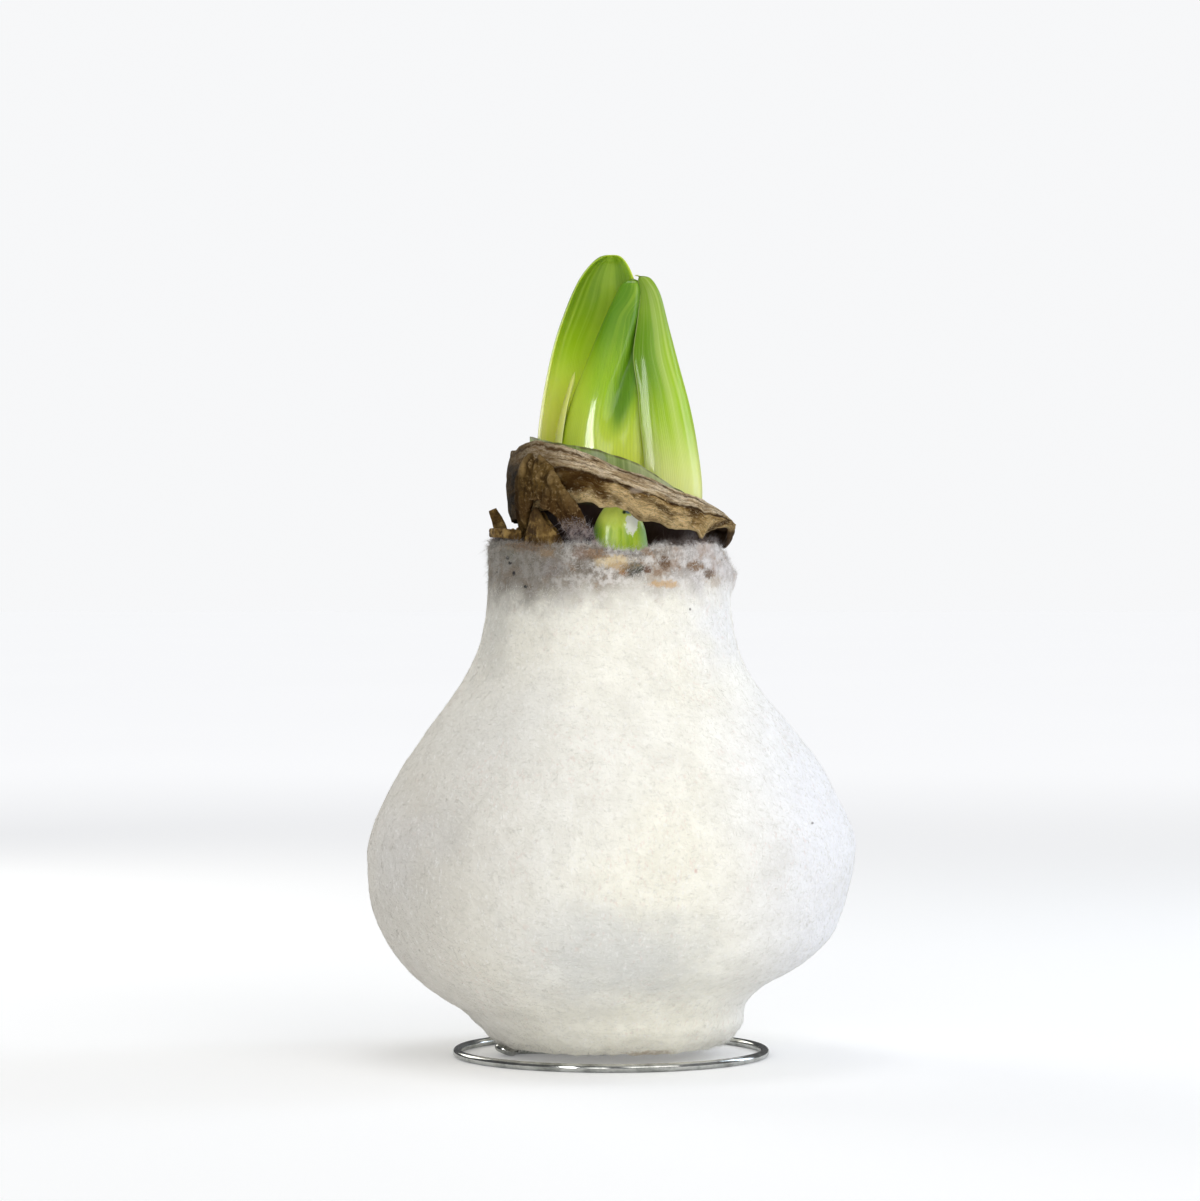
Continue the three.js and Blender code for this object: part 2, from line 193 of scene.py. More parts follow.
lightSettings = dict(
    backdrop=(0.93, 0.935, 0.945), bright=0.8, dim=0.36, brightSide=(0.75, -0.55, 0.35), mirrored=0.3,
    aim=(0, 0, 85),
    boxes=[  # name, place, width, height, watts, colour
        ("keyBox", (400, -640, 460), 560, 560, 1.68, (1.0, 0.985, 0.95)),
        ("frontBox", (-170, -960, 230), 260, 360, 0.8, (1.0, 0.99, 0.97)),
        ("glintBox", (-520, -850, 300), 180, 360, 4.2, (1.0, 1.0, 1.0)),
        ("backBox", (-380, 420, 330), 300, 360, 1.0, (1.0, 0.98, 0.9)),
        ("rimBox", (560, 260, 260), 200, 460, 1.1, (0.74, 0.85, 1.0)),
        ("topBox", (-60, 60, 780), 300, 300, 0.7, (1.0, 1.0, 1.0)),
    ],
)


# The air is lighter on one side and dull in mirrored light, and shows to the camera as a plain pale backdrop
def setAir():
    world = bpy.data.worlds.new("air")
    world.use_nodes = True
    tree = world.node_tree
    air = tree.nodes["Background"]
    way = addNode(tree, "TexCoord").outputs["Generated"]
    side = vectors("DOT_PRODUCT", way, Vector(lightSettings["brightSide"]).normalized()).outputs["Value"]
    glow = fade(side, -0.8, 0.9, lightSettings["dim"], lightSettings["bright"])
    shown = addNode(tree, "Background", {"Color": (*lightSettings["backdrop"], 1)})
    light = addNode(tree, "LightPath")
    dull = times(light.outputs["Is Glossy Ray"], lightSettings["mirrored"] - 1)
    tree.links.new(times(glow, plus(dull, 1.0)), air.inputs["Strength"])
    air.inputs["Color"].default_value = (0.97, 0.98, 1, 1)
    seen = light.outputs["Is Camera Ray"]
    both = addNode(tree, "MixShader", {0: seen, 1: air.outputs[0], 2: shown.outputs[0]})
    tree.links.new(both.outputs[0], tree.nodes["World Output"].inputs[0])
    bpy.context.scene.world = world


def setLight():
    setAir()
    for name, place, width, height, watts, tint in lightSettings["boxes"]:
        data = bpy.data.lights.new(name, "AREA")
        data.shape = "RECTANGLE"
        data.size, data.size_y = width * mm, height * mm
        data.energy = watts
        data.color = tint
        lamp = newObject(name, data)
        lamp.location = Vector(place) * mm
        aim = Vector(lightSettings["aim"]) - Vector(place)
        lamp.rotation_euler = aim.to_track_quat("-Z", "Y").to_euler()
        lamp.visible_diffuse = name != "glintBox"  # that one only shines on glossy leaves and wire
    bpy.context.scene.view_settings.view_transform = "Standard"


def colour(red, green, blue):  # a screen colour from 0 to 255 as the shader wants it
    def linear(value):
        value /= 255
        return value / 12.92 if value <= 0.04045 else ((value + 0.055) / 1.055) ** 2.4
    return (linear(red), linear(green), linear(blue), 1)


def addNode(tree, kind, inputs=None, **settings):
    made = tree.nodes.new("ShaderNode" + kind)
    for name, value in settings.items():
        setattr(made, name, value)
    for key, value in (inputs or {}).items():
        if isinstance(value, bpy.types.NodeSocket):
            tree.links.new(value, made.inputs[key])
        else:
            made.inputs[key].default_value = value
    return made


def after(kind, inputs, **settings):  # a node in the tree that its inputs come from
    tree = next(value.id_data for value in inputs.values() if isinstance(value, bpy.types.NodeSocket))
    return addNode(tree, kind, inputs, **settings)


def calc(operation, first, second=0.0):
    return after("Math", {0: first, 1: second}, operation=operation).outputs[0]


def times(first, second):
    return calc("MULTIPLY", first, second)


def plus(first, second):
    return calc("ADD", first, second)


def minus(first, second):
    return calc("SUBTRACT", first, second)


def axes(vector):  # its x, y and z
    return after("SeparateXYZ", {0: vector}).outputs


def blendColour(share, first, second):  # of colour outputs or screen colours
    first, second = (colour(*one) if isinstance(one, tuple) else one for one in (first, second))
    return after("Mix", {0: share, 6: first, 7: second}, data_type="RGBA").outputs[2]


def veil(base, share, tint):  # lays a screen colour over the base
    return blendColour(share, base, tint)


def tinted(base, value, low, high, share, tint):  # the same, where a value runs from low to high
    return veil(base, fade(value, low, high, 0, share), tint)


def vectors(operation, first, second):
    return after("VectorMath", {0: first, 1: second}, operation=operation)


def scaled(vector, amounts):
    return vectors("MULTIPLY", vector, amounts).outputs[0]


def fade(value, low, high, toLow=0.0, toHigh=1.0):
    made = after("MapRange", {0: value, 1: low, 2: high, 3: toLow, 4: toHigh}, interpolation_type="SMOOTHSTEP")
    return made.outputs[0]


def cloud(vector, scale, detail=3.0, rough=0.5, distortion=0.0):
    made = after("TexNoise", {"Vector": vector, "Scale": scale, "Detail": detail, "Roughness": rough,
                              "Distortion": distortion})
    return made.outputs[0]


def newGroup(name, inputs, outputs):
    group = bpy.data.node_groups.new(name, "ShaderNodeTree")
    kinds = {"vector": "NodeSocketVector", "value": "NodeSocketFloat", "colour": "NodeSocketColor"}
    for label, kind in inputs:
        group.interface.new_socket(name=label, in_out="INPUT", socket_type=kinds[kind])
    for label, kind in outputs:
        group.interface.new_socket(name=label, in_out="OUTPUT", socket_type=kinds[kind])
    return group, group.nodes.new("NodeGroupInput"), group.nodes.new("NodeGroupOutput")


def useGroup(group, inputs):
    return after("Group", inputs, node_tree=group)


def farFrom(place, centre, reach):  # 1 at the edge of an egg-shaped space round a point
    away = vectors("DIVIDE", vectors("SUBTRACT", place, centre).outputs[0], reach).outputs[0]
    return after("VectorMath", {0: away}, operation="LENGTH").outputs["Value"]


# A soft spot round a point, with a ragged edge
def makeSpotGroup():
    group, given, out = newGroup("raggedSpot", [("Place", "vector"), ("Centre", "vector"), ("Reach", "vector"),
                                                ("Ragged", "value")], [("Mask", "value")])
    far = farFrom(given.outputs["Place"], given.outputs["Centre"], given.outputs["Reach"])
    torn = cloud(given.outputs["Place"], 900, 5, 0.75)
    torn = times(minus(torn, 0.5), given.outputs["Ragged"])
    group.links.new(fade(plus(far, torn), 1.15, 0.45), out.inputs["Mask"])
    return group


# Long streaks that run with the flow of a piece
def makeStreakGroup():
    group, given, out = newGroup("streaks", [("Flow", "vector"), ("Fineness", "vector")],
                                 [("Broad", "value"), ("Fine", "value")])
    lengthwise = scaled(given.outputs["Flow"], given.outputs["Fineness"])
    group.links.new(cloud(lengthwise, 1.0, 3, 0.55, 0.4), out.inputs["Broad"])
    group.links.new(cloud(lengthwise, 4.0, 4, 0.6, 0.2), out.inputs["Fine"])
    return group


# Matted fibres lying every way, as on felt
def makeFeltGroup():
    group, given, out = newGroup("mattedFibres", [("Place", "vector"), ("Scale", "value")],
                                 [("Height", "value"), ("Mottle", "value")])
    heights = []
    for turn in ((0.3, 0.2, 0.1), (1.2, 0.5, 0.9), (0.4, 1.4, 2.0)):
        turned = after("VectorRotate", {"Vector": given.outputs["Place"], "Rotation": turn},
                       rotation_type="EULER_XYZ").outputs[0]
        lines = cloud(scaled(turned, (1, 1, 0.16)), given.outputs["Scale"], 2, 0.5, 0.6)
        heights.append(fade(lines, 0.42, 0.68))
    pile = plus(calc("MAXIMUM", heights[0], heights[1]), heights[2])
    group.links.new(pile, out.inputs["Height"])
    patches = cloud(given.outputs["Place"], times(given.outputs["Scale"], 0.11), 5, 0.62)
    group.links.new(patches, out.inputs["Mottle"])
    return group


spotGroup = makeSpotGroup()
streakGroup = makeStreakGroup()
feltGroup = makeFeltGroup()


def spotMask(place, centre, reach, ragged):
    return useGroup(spotGroup, {"Place": place, "Centre": Vector(centre) * mm, "Reach": Vector(reach) * mm,
                                "Ragged": ragged}).outputs[0]


def streaks(flow, fineness):  # broad ones and fine ones
    made = useGroup(streakGroup, {"Flow": flow, "Fineness": fineness})
    return made.outputs["Broad"], made.outputs["Fine"]


def newMaterial(name, **constants):
    material = bpy.data.materials.new(name)
    material.use_nodes = True
    tree = material.node_tree
    shader = tree.nodes["Principled BSDF"]
    for key, value in constants.items():
        shader.inputs[key].default_value = value
    place = addNode(tree, "TexCoord").outputs["Object"]
    return material, tree, shader, place


def attribute(tree, name, output="Vector"):
    return addNode(tree, "Attribute", attribute_name=name).outputs[output]


def feed(tree, shader, colourOut=None, roughness=None, height=None, depth=0.3, strength=1.0):
    if colourOut is not None:
        tree.links.new(colourOut, shader.inputs["Base Color"])
    if roughness is not None:
        tree.links.new(roughness, shader.inputs["Roughness"])
    if height is not None:
        raised = after("Bump", {"Height": height, "Distance": depth * mm, "Strength": strength})
        tree.links.new(raised.outputs[0], shader.inputs["Normal"])


wire = dict(
    thickness=1.8, ringRadius=32.7, ringStart=107, ringEnd=430, ringStep=17, pinTop=24, pinBend=1.6, perPoint=8,
    underBulb=[  # x, y, lift
        (5.6, 29.6, 0), (-1, 25.2, 0), (-9, 17, 0), (-17, 9, 0), (-21.6, 4.3, 0.3), (-23.4, 1.4, 0.8),
        (-23.7, -1.6, 1), (-23.2, -2.75, 0.9), (-22.25, -3.15, 0.5), (-21.3, -2.75, 0.15), (-20.8, -1.6, 0.05),
        (-20.3, 0.6, 0.05), (-18.6, 2.1, 0.05), (-15.5, 2.3, 0.05), (-9, 1.3, 0.05), (-3, 0.2, 0.09)],
)


def makeSteel():
    material, tree, shader, place = newMaterial("drawnSteel", **{"Metallic": 1.0, "Specular IOR Level": 0.5})
    dull = cloud(place, 260, 4, 0.6)
    drawn = cloud(scaled(place, (1, 1, 6)), 2400, 2)
    tint = blendColour(fade(dull, 0.35, 0.7), (206, 207, 204), (150, 152, 148))
    rough = plus(times(drawn, 0.1), fade(dull, 0.3, 0.75, 0.04, 0.1))
    feed(tree, shader, tint, rough, drawn, 0.01, 0.3)
    return material


def makeWire():
    lying = wire["thickness"] / 2
    bend = wire["pinBend"]
    points = []
    for turn in range(wire["ringStart"], wire["ringEnd"] + 1, wire["ringStep"]):
        angle = math.radians(turn)
        points.append((wire["ringRadius"] * math.cos(angle), wire["ringRadius"] * math.sin(angle), lying))
    points += [(x, y, lying + lift) for x, y, lift in wire["underBulb"]]
    for share in (0, 0.5, 1):
        angle = share * math.pi / 2
        points.append((bend * (math.sin(angle) - 1), 0, lying + bend * (1 - math.cos(angle))))
    points += [(0, 0, lying + 2 * bend), (0, 0, wire["pinTop"])]
    path = bpy.data.curves.new("wirePath", "CURVE")
    path.dimensions = "3D"
    path.bevel_depth = lying * mm
    path.bevel_resolution = 5
    path.use_fill_caps = True
    line = path.splines.new("POLY")
    steps = wire["perPoint"] * (len(points) - 1)
    line.points.add(steps)
    for step in range(steps + 1):
        x, y, z = along(points, step / steps)
        line.points[step].co = (x * mm, y * mm, z * mm, 1)
    curve = newObject("wirePath", path)
    mesh = bakedMesh(curve)
    bpy.data.objects.remove(curve)
    mesh.materials.clear()
    dressPiece("wireStand", mesh, makeSteel(), ["wire_stand"])
    print("wire stand made")


coat = dict(
    around=320, outside=230, inside=22, wall=2.4, rim=108,
    outline=[  # height, reach to the left, reach to the right
        (2.2, 1.6, 1.6), (2.2, 14, 14), (2.25, 19.4, 19.6), (2.6, 22.4, 22.8), (4.2, 25.6, 25.8),
        (7.2, 28.9, 27.9), (9.8, 31.4, 28.2), (12.5, 35.8, 29.4), (16.1, 40.7, 33.6), (20.4, 44.8, 41.2),
        (26, 48.2, 47), (33.1, 50.9, 49.8),
        (41.6, 51.7, 51.6), (47.5, 51, 51.2), (54.3, 47.9, 48.1), (62.8, 43.2, 43.7), (71.2, 37.4, 37.3),
        (79.7, 31.2, 30), (88.2, 27.4, 26.4), (96.7, 26.3, 25.2), (108, 25.9, 24.7)],
    rimDips=[(8, 26, -2.6), (185, 40, 1.8)],  # turn, width, height
    rimWaves=[(272, 13, -1.5), (297, 9, 1.2), (311, 6, 1.3), (321, 7, 0.9), (334, 13, 2.8)],
    knob=dict(turn=-4, width=17, height=101.9, tall=3.4, out=1.9),
    lumps=0.32, pimples=0.09, underside=1.98,
    belly=(10, 30, 78, 100), neck=(97.5, 101.5), foot=(3, 9),  # heights where each fades in, or out
    dents=[  # x, z, long, wide, lean in degrees, depth
        (-34, 50.3, 6.5, 2.6, 48, 1.0), (-50.5, 50, 2, 3, 0, 0.5), (-24, 66, 10, 3, 20, 0.3),
        (14, 70, 9, 4, -25, 0.25), (22, 29, 9, 5, -40, 0.35), (-12, 31, 10, 4, 65, 0.25)],
    pit=(4.5, 104, 2.5, 1.3, 1.5),  # x, z, half width, half height, depth
)
tableSteps = 2000
coatRows = [(left, right, height) for height, left, right in coat["outline"]]
coatTable = np.array([along(coatRows, step / tableSteps) for step in range(tableSteps + 1)])
coatRuns = np.gradient(coatTable, axis=0)


def rimRaggedness(turn):
    frayed = 0.4 * noise.noise(ring(9, turn, 3)) + 0.35 * noise.noise(ring(26, turn, 5))
    waves = 0.7 * math.sin(3 * turn + 0.4) + 0.5 * math.sin(7 * turn + 1.1)
    return waves + frayed + bumps(turn, coat["rimDips"] + coat["rimWaves"])


def coatLumps(turn, height):
    bottom, low, high, top = coat["belly"]
    belly = ease(height, bottom, low) * (1 - ease(height, high, top))
    waves = 0.5 * math.sin(3 * turn + 0.09 * height) + 0.35 * math.sin(5 * turn - 0.12 * height + 2)
    knob = coat["knob"]
    upKnob = math.exp(-((height - knob["height"]) / knob["tall"]) ** 2)
    return belly * waves * abs(math.sin(turn)) + knob["out"] * upKnob * bump(turn, knob["turn"], knob["width"])


# How far the hand-dipped surface stands off its outline, with dents, a pit and a woolly neck
def coatRelief(x, y, z):
    high = coat["lumps"] * grain(x, y, z, 11) + 0.6 * coat["lumps"] * grain(x, y, z + 40, 5)
    high += coat["pimples"] * grain(x, y, z, 1.9) + 0.6 * coat["pimples"] * grain(x, y, z, 0.9)
    neck = ease(z, *coat["neck"])
    high += neck * (0.55 * grain(x, y, z, 3.4) + 0.4 * grain(x, y, z, 1.5) - 0.25)
    foot = 1 - ease(z, *coat["foot"])
    high += foot * 0.5 * grain(x, y, z, 3)
    if y < 0:
        for dentX, dentZ, long, wide, lean, deep in coat["dents"]:
            cosLean, sinLean = math.cos(math.radians(lean)), math.sin(math.radians(lean))
            run = ((x - dentX) * cosLean + (z - dentZ) * sinLean) / long
            side = ((z - dentZ) * cosLean - (x - dentX) * sinLean) / wide
            high -= deep * math.exp(-run * run - side * side)
        pitX, pitZ, halfWide, halfTall, deep = coat["pit"]
        high -= deep * math.exp(-(((x - pitX) / halfWide) ** 2 + ((z - pitZ) / halfTall) ** 2) ** 1.5)
    return high


def coatPoint(turn, share, depth):
    spot = min(max(share, 0), 1) * tableSteps
    low = min(int(spot), tableSteps - 1)
    left, right, height = mix(coatTable[low], coatTable[low + 1], spot - low)
    runLeft, runRight, runUp = coatRuns[low]
    toRight = (1 + math.cos(turn)) / 2
    spread = mix(runLeft, runRight, toRight)
    steep = math.hypot(spread, runUp)
    radius = mix(left, right, toRight) + coatLumps(turn, height)
    ragged = rimRaggedness(turn) * ease(height, coat["rim"] - 10, coat["rim"])
    relief = 0
    if not depth:
        relief = coatRelief(radius * math.cos(turn), radius * math.sin(turn), height) * ease(radius, 6, 20)
    lip = ease(height, coat["rim"] - 1.6, coat["rim"]) ** 2  # the rim is thinner and rounded
    out = relief - depth + (0.55 * lip if depth else -0.85 * lip)
    radius += out * runUp / steep
    up = height + ragged - out * spread / steep
    return ring(radius, turn, max(up, coat["underside"] + 0.02 * depth)), relief


waxSpots = [  # place, reach, tint, share
    # painted shade: the dark spot in the pit
    ((4.6, -24.5, 103.4), (2.6, 4, 1.6), (74, 74, 62), 1.0),
    ((5.2, -24.5, 103.8), (1.3, 4, 0.7), (126, 128, 116), 0.7),
    ((2.6, -24.8, 102.6), (1.2, 4, 0.7), (160, 112, 62), 0.7),
    ((7.6, -23.8, 103.2), (1.0, 4, 0.9), (104, 74, 56), 0.8),
    ((11.1, -22.6, 104.6), (1.5, 4, 1.8), (104, 78, 54), 0.85),
    ((9.6, -23, 102.6), (1.2, 4, 1.0), (136, 108, 80), 0.6),
    ((17.6, -18, 104), (2.2, 4, 1.4), (118, 86, 46), 0.85),
    ((20.4, -14.8, 102.4), (1.6, 5, 1.3), (92, 66, 36), 0.85),
    ((21.9, -12, 100.7), (1.5, 5, 1.6), (156, 132, 98), 0.45),
    ((11, -22.8, 100.3), (3.8, 4, 0.9), (200, 164, 116), 0.75),
    ((0.4, -24.8, 105), (4.4, 5, 1.5), (222, 202, 160), 0.8),
    ((-3.4, -24.8, 106.6), (3.0, 5, 1.3), (140, 102, 56), 0.8),
    ((2.2, -24.8, 103.9), (3.4, 5, 1.0), (176, 144, 100), 0.6),
    ((-5.6, -24, 104.6), (2.4, 5, 2.6), (104, 96, 86), 0.6),
    ((-6.2, -24, 106.8), (1.8, 5, 2.2), (122, 98, 82), 0.6),
    ((-13.6, -21, 107.3), (2.2, 5, 1.5), (150, 122, 84), 0.6),
    # painted shade: a dark band on the rim under the collar's overhang
    ((15, -17, 110.6), (9, 9, 2.4), (66, 46, 38), 0.9),
    ((-21, -14, 107), (2.2, 6, 2.6), (112, 112, 98), 0.55),
    ((-12, -22, 103.6), (3.6, 5, 2.4), (128, 122, 120), 0.45),
    ((-21.8, -14, 105.6), (0.55, 3, 0.5), (40, 38, 40), 1.0),
    ((-21.1, -15, 104.6), (0.45, 3, 0.4), (40, 38, 40), 1.0),
    ((-20.3, -16, 102.4), (0.4, 3, 0.65), (44, 42, 44), 1.0),
    ((-17.8, -19, 99.7), (0.45, 3, 0.4), (30, 30, 30), 1.0),
    ((-24, -10, 102.6), (0.3, 3, 0.3), (60, 58, 56), 0.9),
    ((16.4, -20, 95), (0.28, 3, 0.34), (96, 90, 88), 0.8),
    ((34, -28, 69.6), (0.3, 4, 0.3), (120, 116, 112), 0.8),
    ((41.5, -28, 51), (0.36, 5, 0.3), (110, 106, 104), 0.8),
    ((17, -46, 42.6), (0.5, 5, 0.7), (206, 170, 160), 0.7),
    ((8, -24, 2.6), (7, 9, 1.0), (170, 146, 116), 0.6),
]
# soft patches of painted shade, darker low down, to the left and by a dent, and one of painted cool light on
# the right of the neck
waxPaintedLightAndShade = [  # place, reach, tint, share: soft and wide
    ((3, -44, 25), (23, 40, 12), (212, 212, 208), 0.75),
    ((-8, -44, 31), (16, 40, 9), (224, 223, 217), 0.5),
    ((-36, -34, 49), (9, 24, 6), (208, 205, 198), 0.6),
    ((-45, -22, 46), (12, 30, 14), (226, 223, 219), 0.5),
    ((-30, -28, 70), (22, 40, 16), (228, 226, 219), 0.5),
    ((-26, -12, 91), (7, 18, 12), (200, 198, 189), 0.75),
    ((23, -12, 92), (11, 18, 12), (228, 229, 235), 0.6),
]


def makeWax():
    material, tree, shader, place = newMaterial("feltedWax", **{
        "Sheen Weight": 0.1, "Sheen Roughness": 0.5, "Specular IOR Level": 0.2})
    side, _, height = axes(place)
    felt = useGroup(feltGroup, {"Place": place, "Scale": 1500})
    base = blendColour(fade(felt.outputs["Mottle"], 0.34, 0.66), (234, 231, 219), (253, 251, 242))
    warm = fade(cloud(place, 21, 3, 0.5), 0.38, 0.62)
    base = blendColour(0.5, base, blendColour(warm, (246, 244, 236), (252, 248, 230)))
    # painted light: a cool pale tint on the right side
    base = tinted(base, side, 0.014, 0.046, 0.65, (229, 231, 243))  # cool to the right
    # painted shade: a greyer tint on the left side
    base = tinted(base, side, -0.002, -0.046, 0.75, (207, 202, 193))
    cloudy = fade(cloud(scaled(place, (1, 1, 1.6)), 62, 4, 0.6), 0.5, 0.74, 0, 0.32)
    base = veil(base, cloudy, (214, 212, 204))
    wander = times(minus(cloud(place, 95, 4, 0.65), 0.5), 1.5)
    # lays on the patches of painted shade and painted light
    for centre, reach, tint, share in waxPaintedLightAndShade:
        far = farFrom(place, Vector(centre) * mm, Vector(reach) * mm)
        base = tinted(base, plus(far, wander), 1.25, 0.1, share, tint)
    # fibres and pores: fine grey ones all over, rosy ones in patches
    grey = fade(cloud(scaled(place, (1, 1, 1.5)), 640, 4, 0.75), 0.53, 0.7, 0, 0.42)
    base = veil(base, grey, (204, 202, 191))
    pale = fade(cloud(scaled(place, (1.4, 1, 0.8)), 930, 3, 0.75), 0.55, 0.68, 0, 0.4)
    base = veil(base, pale, (253, 252, 249))
    rosy = times(fade(cloud(place, 64, 3, 0.6), 0.47, 0.62),
                fade(cloud(scaled(place, (1, 1, 0.5)), 1250, 3, 0.6), 0.54, 0.7, 0, 0.26))
    base = veil(base, rosy, (222, 190, 178))
    # the woolly neck, where brown scales show through, with painted shade to the left and painted light to the
    # right
    torn = times(minus(cloud(place, 130, 5, 0.75), 0.5), 0.016)
    torn = plus(torn, fade(side, 0.004, -0.005, 0, 0.0024))  # reaches lower to the left
    neck = fade(plus(height, torn), 0.095, 0.1035)
    wool = blendColour(fade(cloud(place, 520, 5, 0.75), 0.4, 0.6), (146, 137, 125), (214, 209, 203))
    brownish = fade(cloud(place, 190, 5, 0.7), 0.5, 0.64, 0, 0.75)
    wool = veil(wool, brownish, (138, 104, 66))
    # painted shade on the left of the wool
    wool = tinted(wool, side, 0.0, -0.018, 0.75, (116, 110, 100))
    # painted light on the right of the wool
    wool = tinted(wool, side, 0.006, 0.022, 0.5, (214, 210, 212))
    base = blendColour(neck, base, wool)
    for centre, reach, tint, share in waxSpots:
        spot = spotMask(place, centre, reach, 2.6 if reach[0] > 0.9 else 0.8)
        base = veil(base, times(spot, share), tint)
    lift = plus(felt.outputs["Height"], times(felt.outputs["Mottle"], 2.0))
    lift = plus(lift, times(grey, -1.6))
    feed(tree, shader, base, fade(felt.outputs["Mottle"], 0.3, 0.7, 0.94, 0.82), lift, 0.11, 0.5)
    return material


def makeCoat():
    rings = coat["outside"], coat["inside"]
    bm = wallTube(coat["around"], *rings)

    def place(at):
        turn, share, outside = wallSpot(at, *rings)
        point, relief = coatPoint(turn, share, 0 if outside else coat["wall"])
        return point, point, relief, 1
    shape(bm, place)
    piece = finishPiece("waxCoat", bm, makeWax(), ["wax_coat"])
    print("wax coat made")
    return piece


# A thin bent strand repeated in a row, each then sent to its own root
def makeStrands(name, roots, material):
    count = len(roots["place"])
    bm = bmesh.new()
    bmesh.ops.create_cone(bm, cap_ends=True, segments=3, radius1=1, radius2=0, depth=1)
    bmesh.ops.translate(bm, verts=bm.verts, vec=(0, 0, 0.5))
    bmesh.ops.subdivide_edges(bm, edges=uprights(bm), cuts=1)
    bmesh.ops.triangulate(bm, faces=bm.faces)
    seed = meshFrom(name + "Seed", bm)
    row = newObject(name + "Row", seed)
    copies = row.modifiers.new("copies", "ARRAY")
    copies.count = count
    mesh = bakedMesh(row)
    own = np.array([vert.co for vert in seed.vertices])
    bpy.data.objects.remove(row)
    side = np.cross(roots["way"], roots["normal"])
    side /= np.maximum(np.linalg.norm(side, axis=1, keepdims=True), 1e-6)
    other = np.cross(side, roots["way"])
    share = own[None, :, 2, None]
    width = roots["width"][:, None, None] * (1 - 0.25 * share)
    points = roots["place"][:, None] + roots["way"][:, None] * roots["length"][:, None, None] * share \
        + roots["bend"][:, None] * share ** 2 \
        + (side[:, None] * own[None, :, 0, None] + other[:, None] * own[None, :, 1, None]) * width
    mesh.vertices.foreach_set("co", (points * mm).astype(np.float32).ravel())
    mesh.update()
    return dressPiece(name, mesh, material)


# Picks places on a piece's faces, by area and by how much wanted() asks for a place
def pickRoots(piece, count, seed, wanted):
    draw = np.random.default_rng(seed)
    mesh = piece.evaluated_get(bpy.context.evaluated_depsgraph_get()).to_mesh()
    faces = len(mesh.polygons)
    centres, normals, areas = np.zeros(faces * 3), np.zeros(faces * 3), np.zeros(faces)
    mesh.polygons.foreach_get("center", centres)
    mesh.polygons.foreach_get("normal", normals)
    mesh.polygons.foreach_get("area", areas)
    centres, normals = centres.reshape(-1, 3) / mm, normals.reshape(-1, 3)
    weights = areas * np.clip(wanted(centres, normals), 0, None)
    chosen = draw.choice(faces, count, p=weights / weights.sum())
    spread = np.sqrt(areas[chosen] / mm ** 2)[:, None]
    loose = draw.normal(size=(count, 3)) * spread * 0.35
    normal = normals[chosen]
    loose -= normal * (loose * normal).sum(axis=1, keepdims=True)
    return centres[chosen] + loose, normal, draw


def unit(vectors):
    return vectors / np.maximum(np.linalg.norm(vectors, axis=1, keepdims=True), 1e-6)


bodyFlock = dict(pieces=2, each=14500, length=(0.7, 2.2), width=0.028, lift=0.03)


def makeFlockFibre():
    material, tree, shader, place = newMaterial("flockFibre", **{
        "Sheen Weight": 0.2, "Sheen Roughness": 0.4, "Specular IOR Level": 0.2})
    tone = cloud(place, 900, 2)
    side = axes(place)[0]
    base = blendColour(fade(tone, 0.4, 0.65), (226, 224, 216), (250, 249, 244))
    # painted shade: greyer on the left side, as on the wax
    base = tinted(base, side, -0.002, -0.046, 0.75, (207, 202, 193))
    feed(tree, shader, base, fade(tone, 0.3, 0.7, 0.95, 0.8))
    return material


def makeBodyFlock(coatPiece, material):
    for part in range(bodyFlock["pieces"]):
        def wanted(centres, normals):
            outside = (centres * normals * (1, 1, 0)).sum(axis=1) + normals[:, 2] * 2 > 0
            return outside * (centres[:, 2] < 100) * (centres[:, 2] > 3) * (0.6 + 0.4 * (centres[:, 1] < 0))
        place, normal, draw = pickRoots(coatPiece, bodyFlock["each"], 11 + part, wanted)
        count = len(place)
        way = unit(np.cross(normal, unit(draw.normal(size=(count, 3)))))
        length = draw.uniform(*bodyFlock["length"], count)
        lift = bodyFlock["lift"] * draw.uniform(0.2, 2.2, count)[:, None]
        curl = unit(np.cross(way, normal)) * draw.normal(size=(count, 1)) * 0.35 * length[:, None]
        drop = -normal * (length ** 2 / 90)[:, None]
        roots = dict(place=place + normal * 0.01, normal=normal, way=unit(way + normal * lift), length=length,
                     bend=curl + drop, width=np.full(count, bodyFlock["width"]))
        makeStrands(f"bodyFlock{part + 1}", roots, material)
    print("body flock made")


footFluff = dict(count=3200, seed=21, length=(0.5, 1.5), width=0.03)  # the ragged edge under the bulb


def makeFootFluff(coatPiece, material):
    def wanted(centres, normals):
        return (centres[:, 2] < 4.6) * (np.hypot(centres[:, 0], centres[:, 1]) > 20.5)
    place, normal, draw = pickRoots(coatPiece, footFluff["count"], footFluff["seed"], wanted)
    count = len(place)
    loose = draw.normal(size=(count, 3))
    way = unit(normal * 0.5 + loose * 0.75)
    length = draw.uniform(*footFluff["length"], count)
    length = np.minimum(length, (place[:, 2] - 0.2) / np.maximum(-way[:, 2], 0.1))
    roots = dict(place=place, normal=unit(loose + normal), way=way, length=length,
                 bend=np.roll(loose, 1, axis=1) * (1, 1, 0) * 0.3 * length[:, None],
                 width=np.full(count, footFluff["width"]))
    makeStrands("footFluff", roots, material)


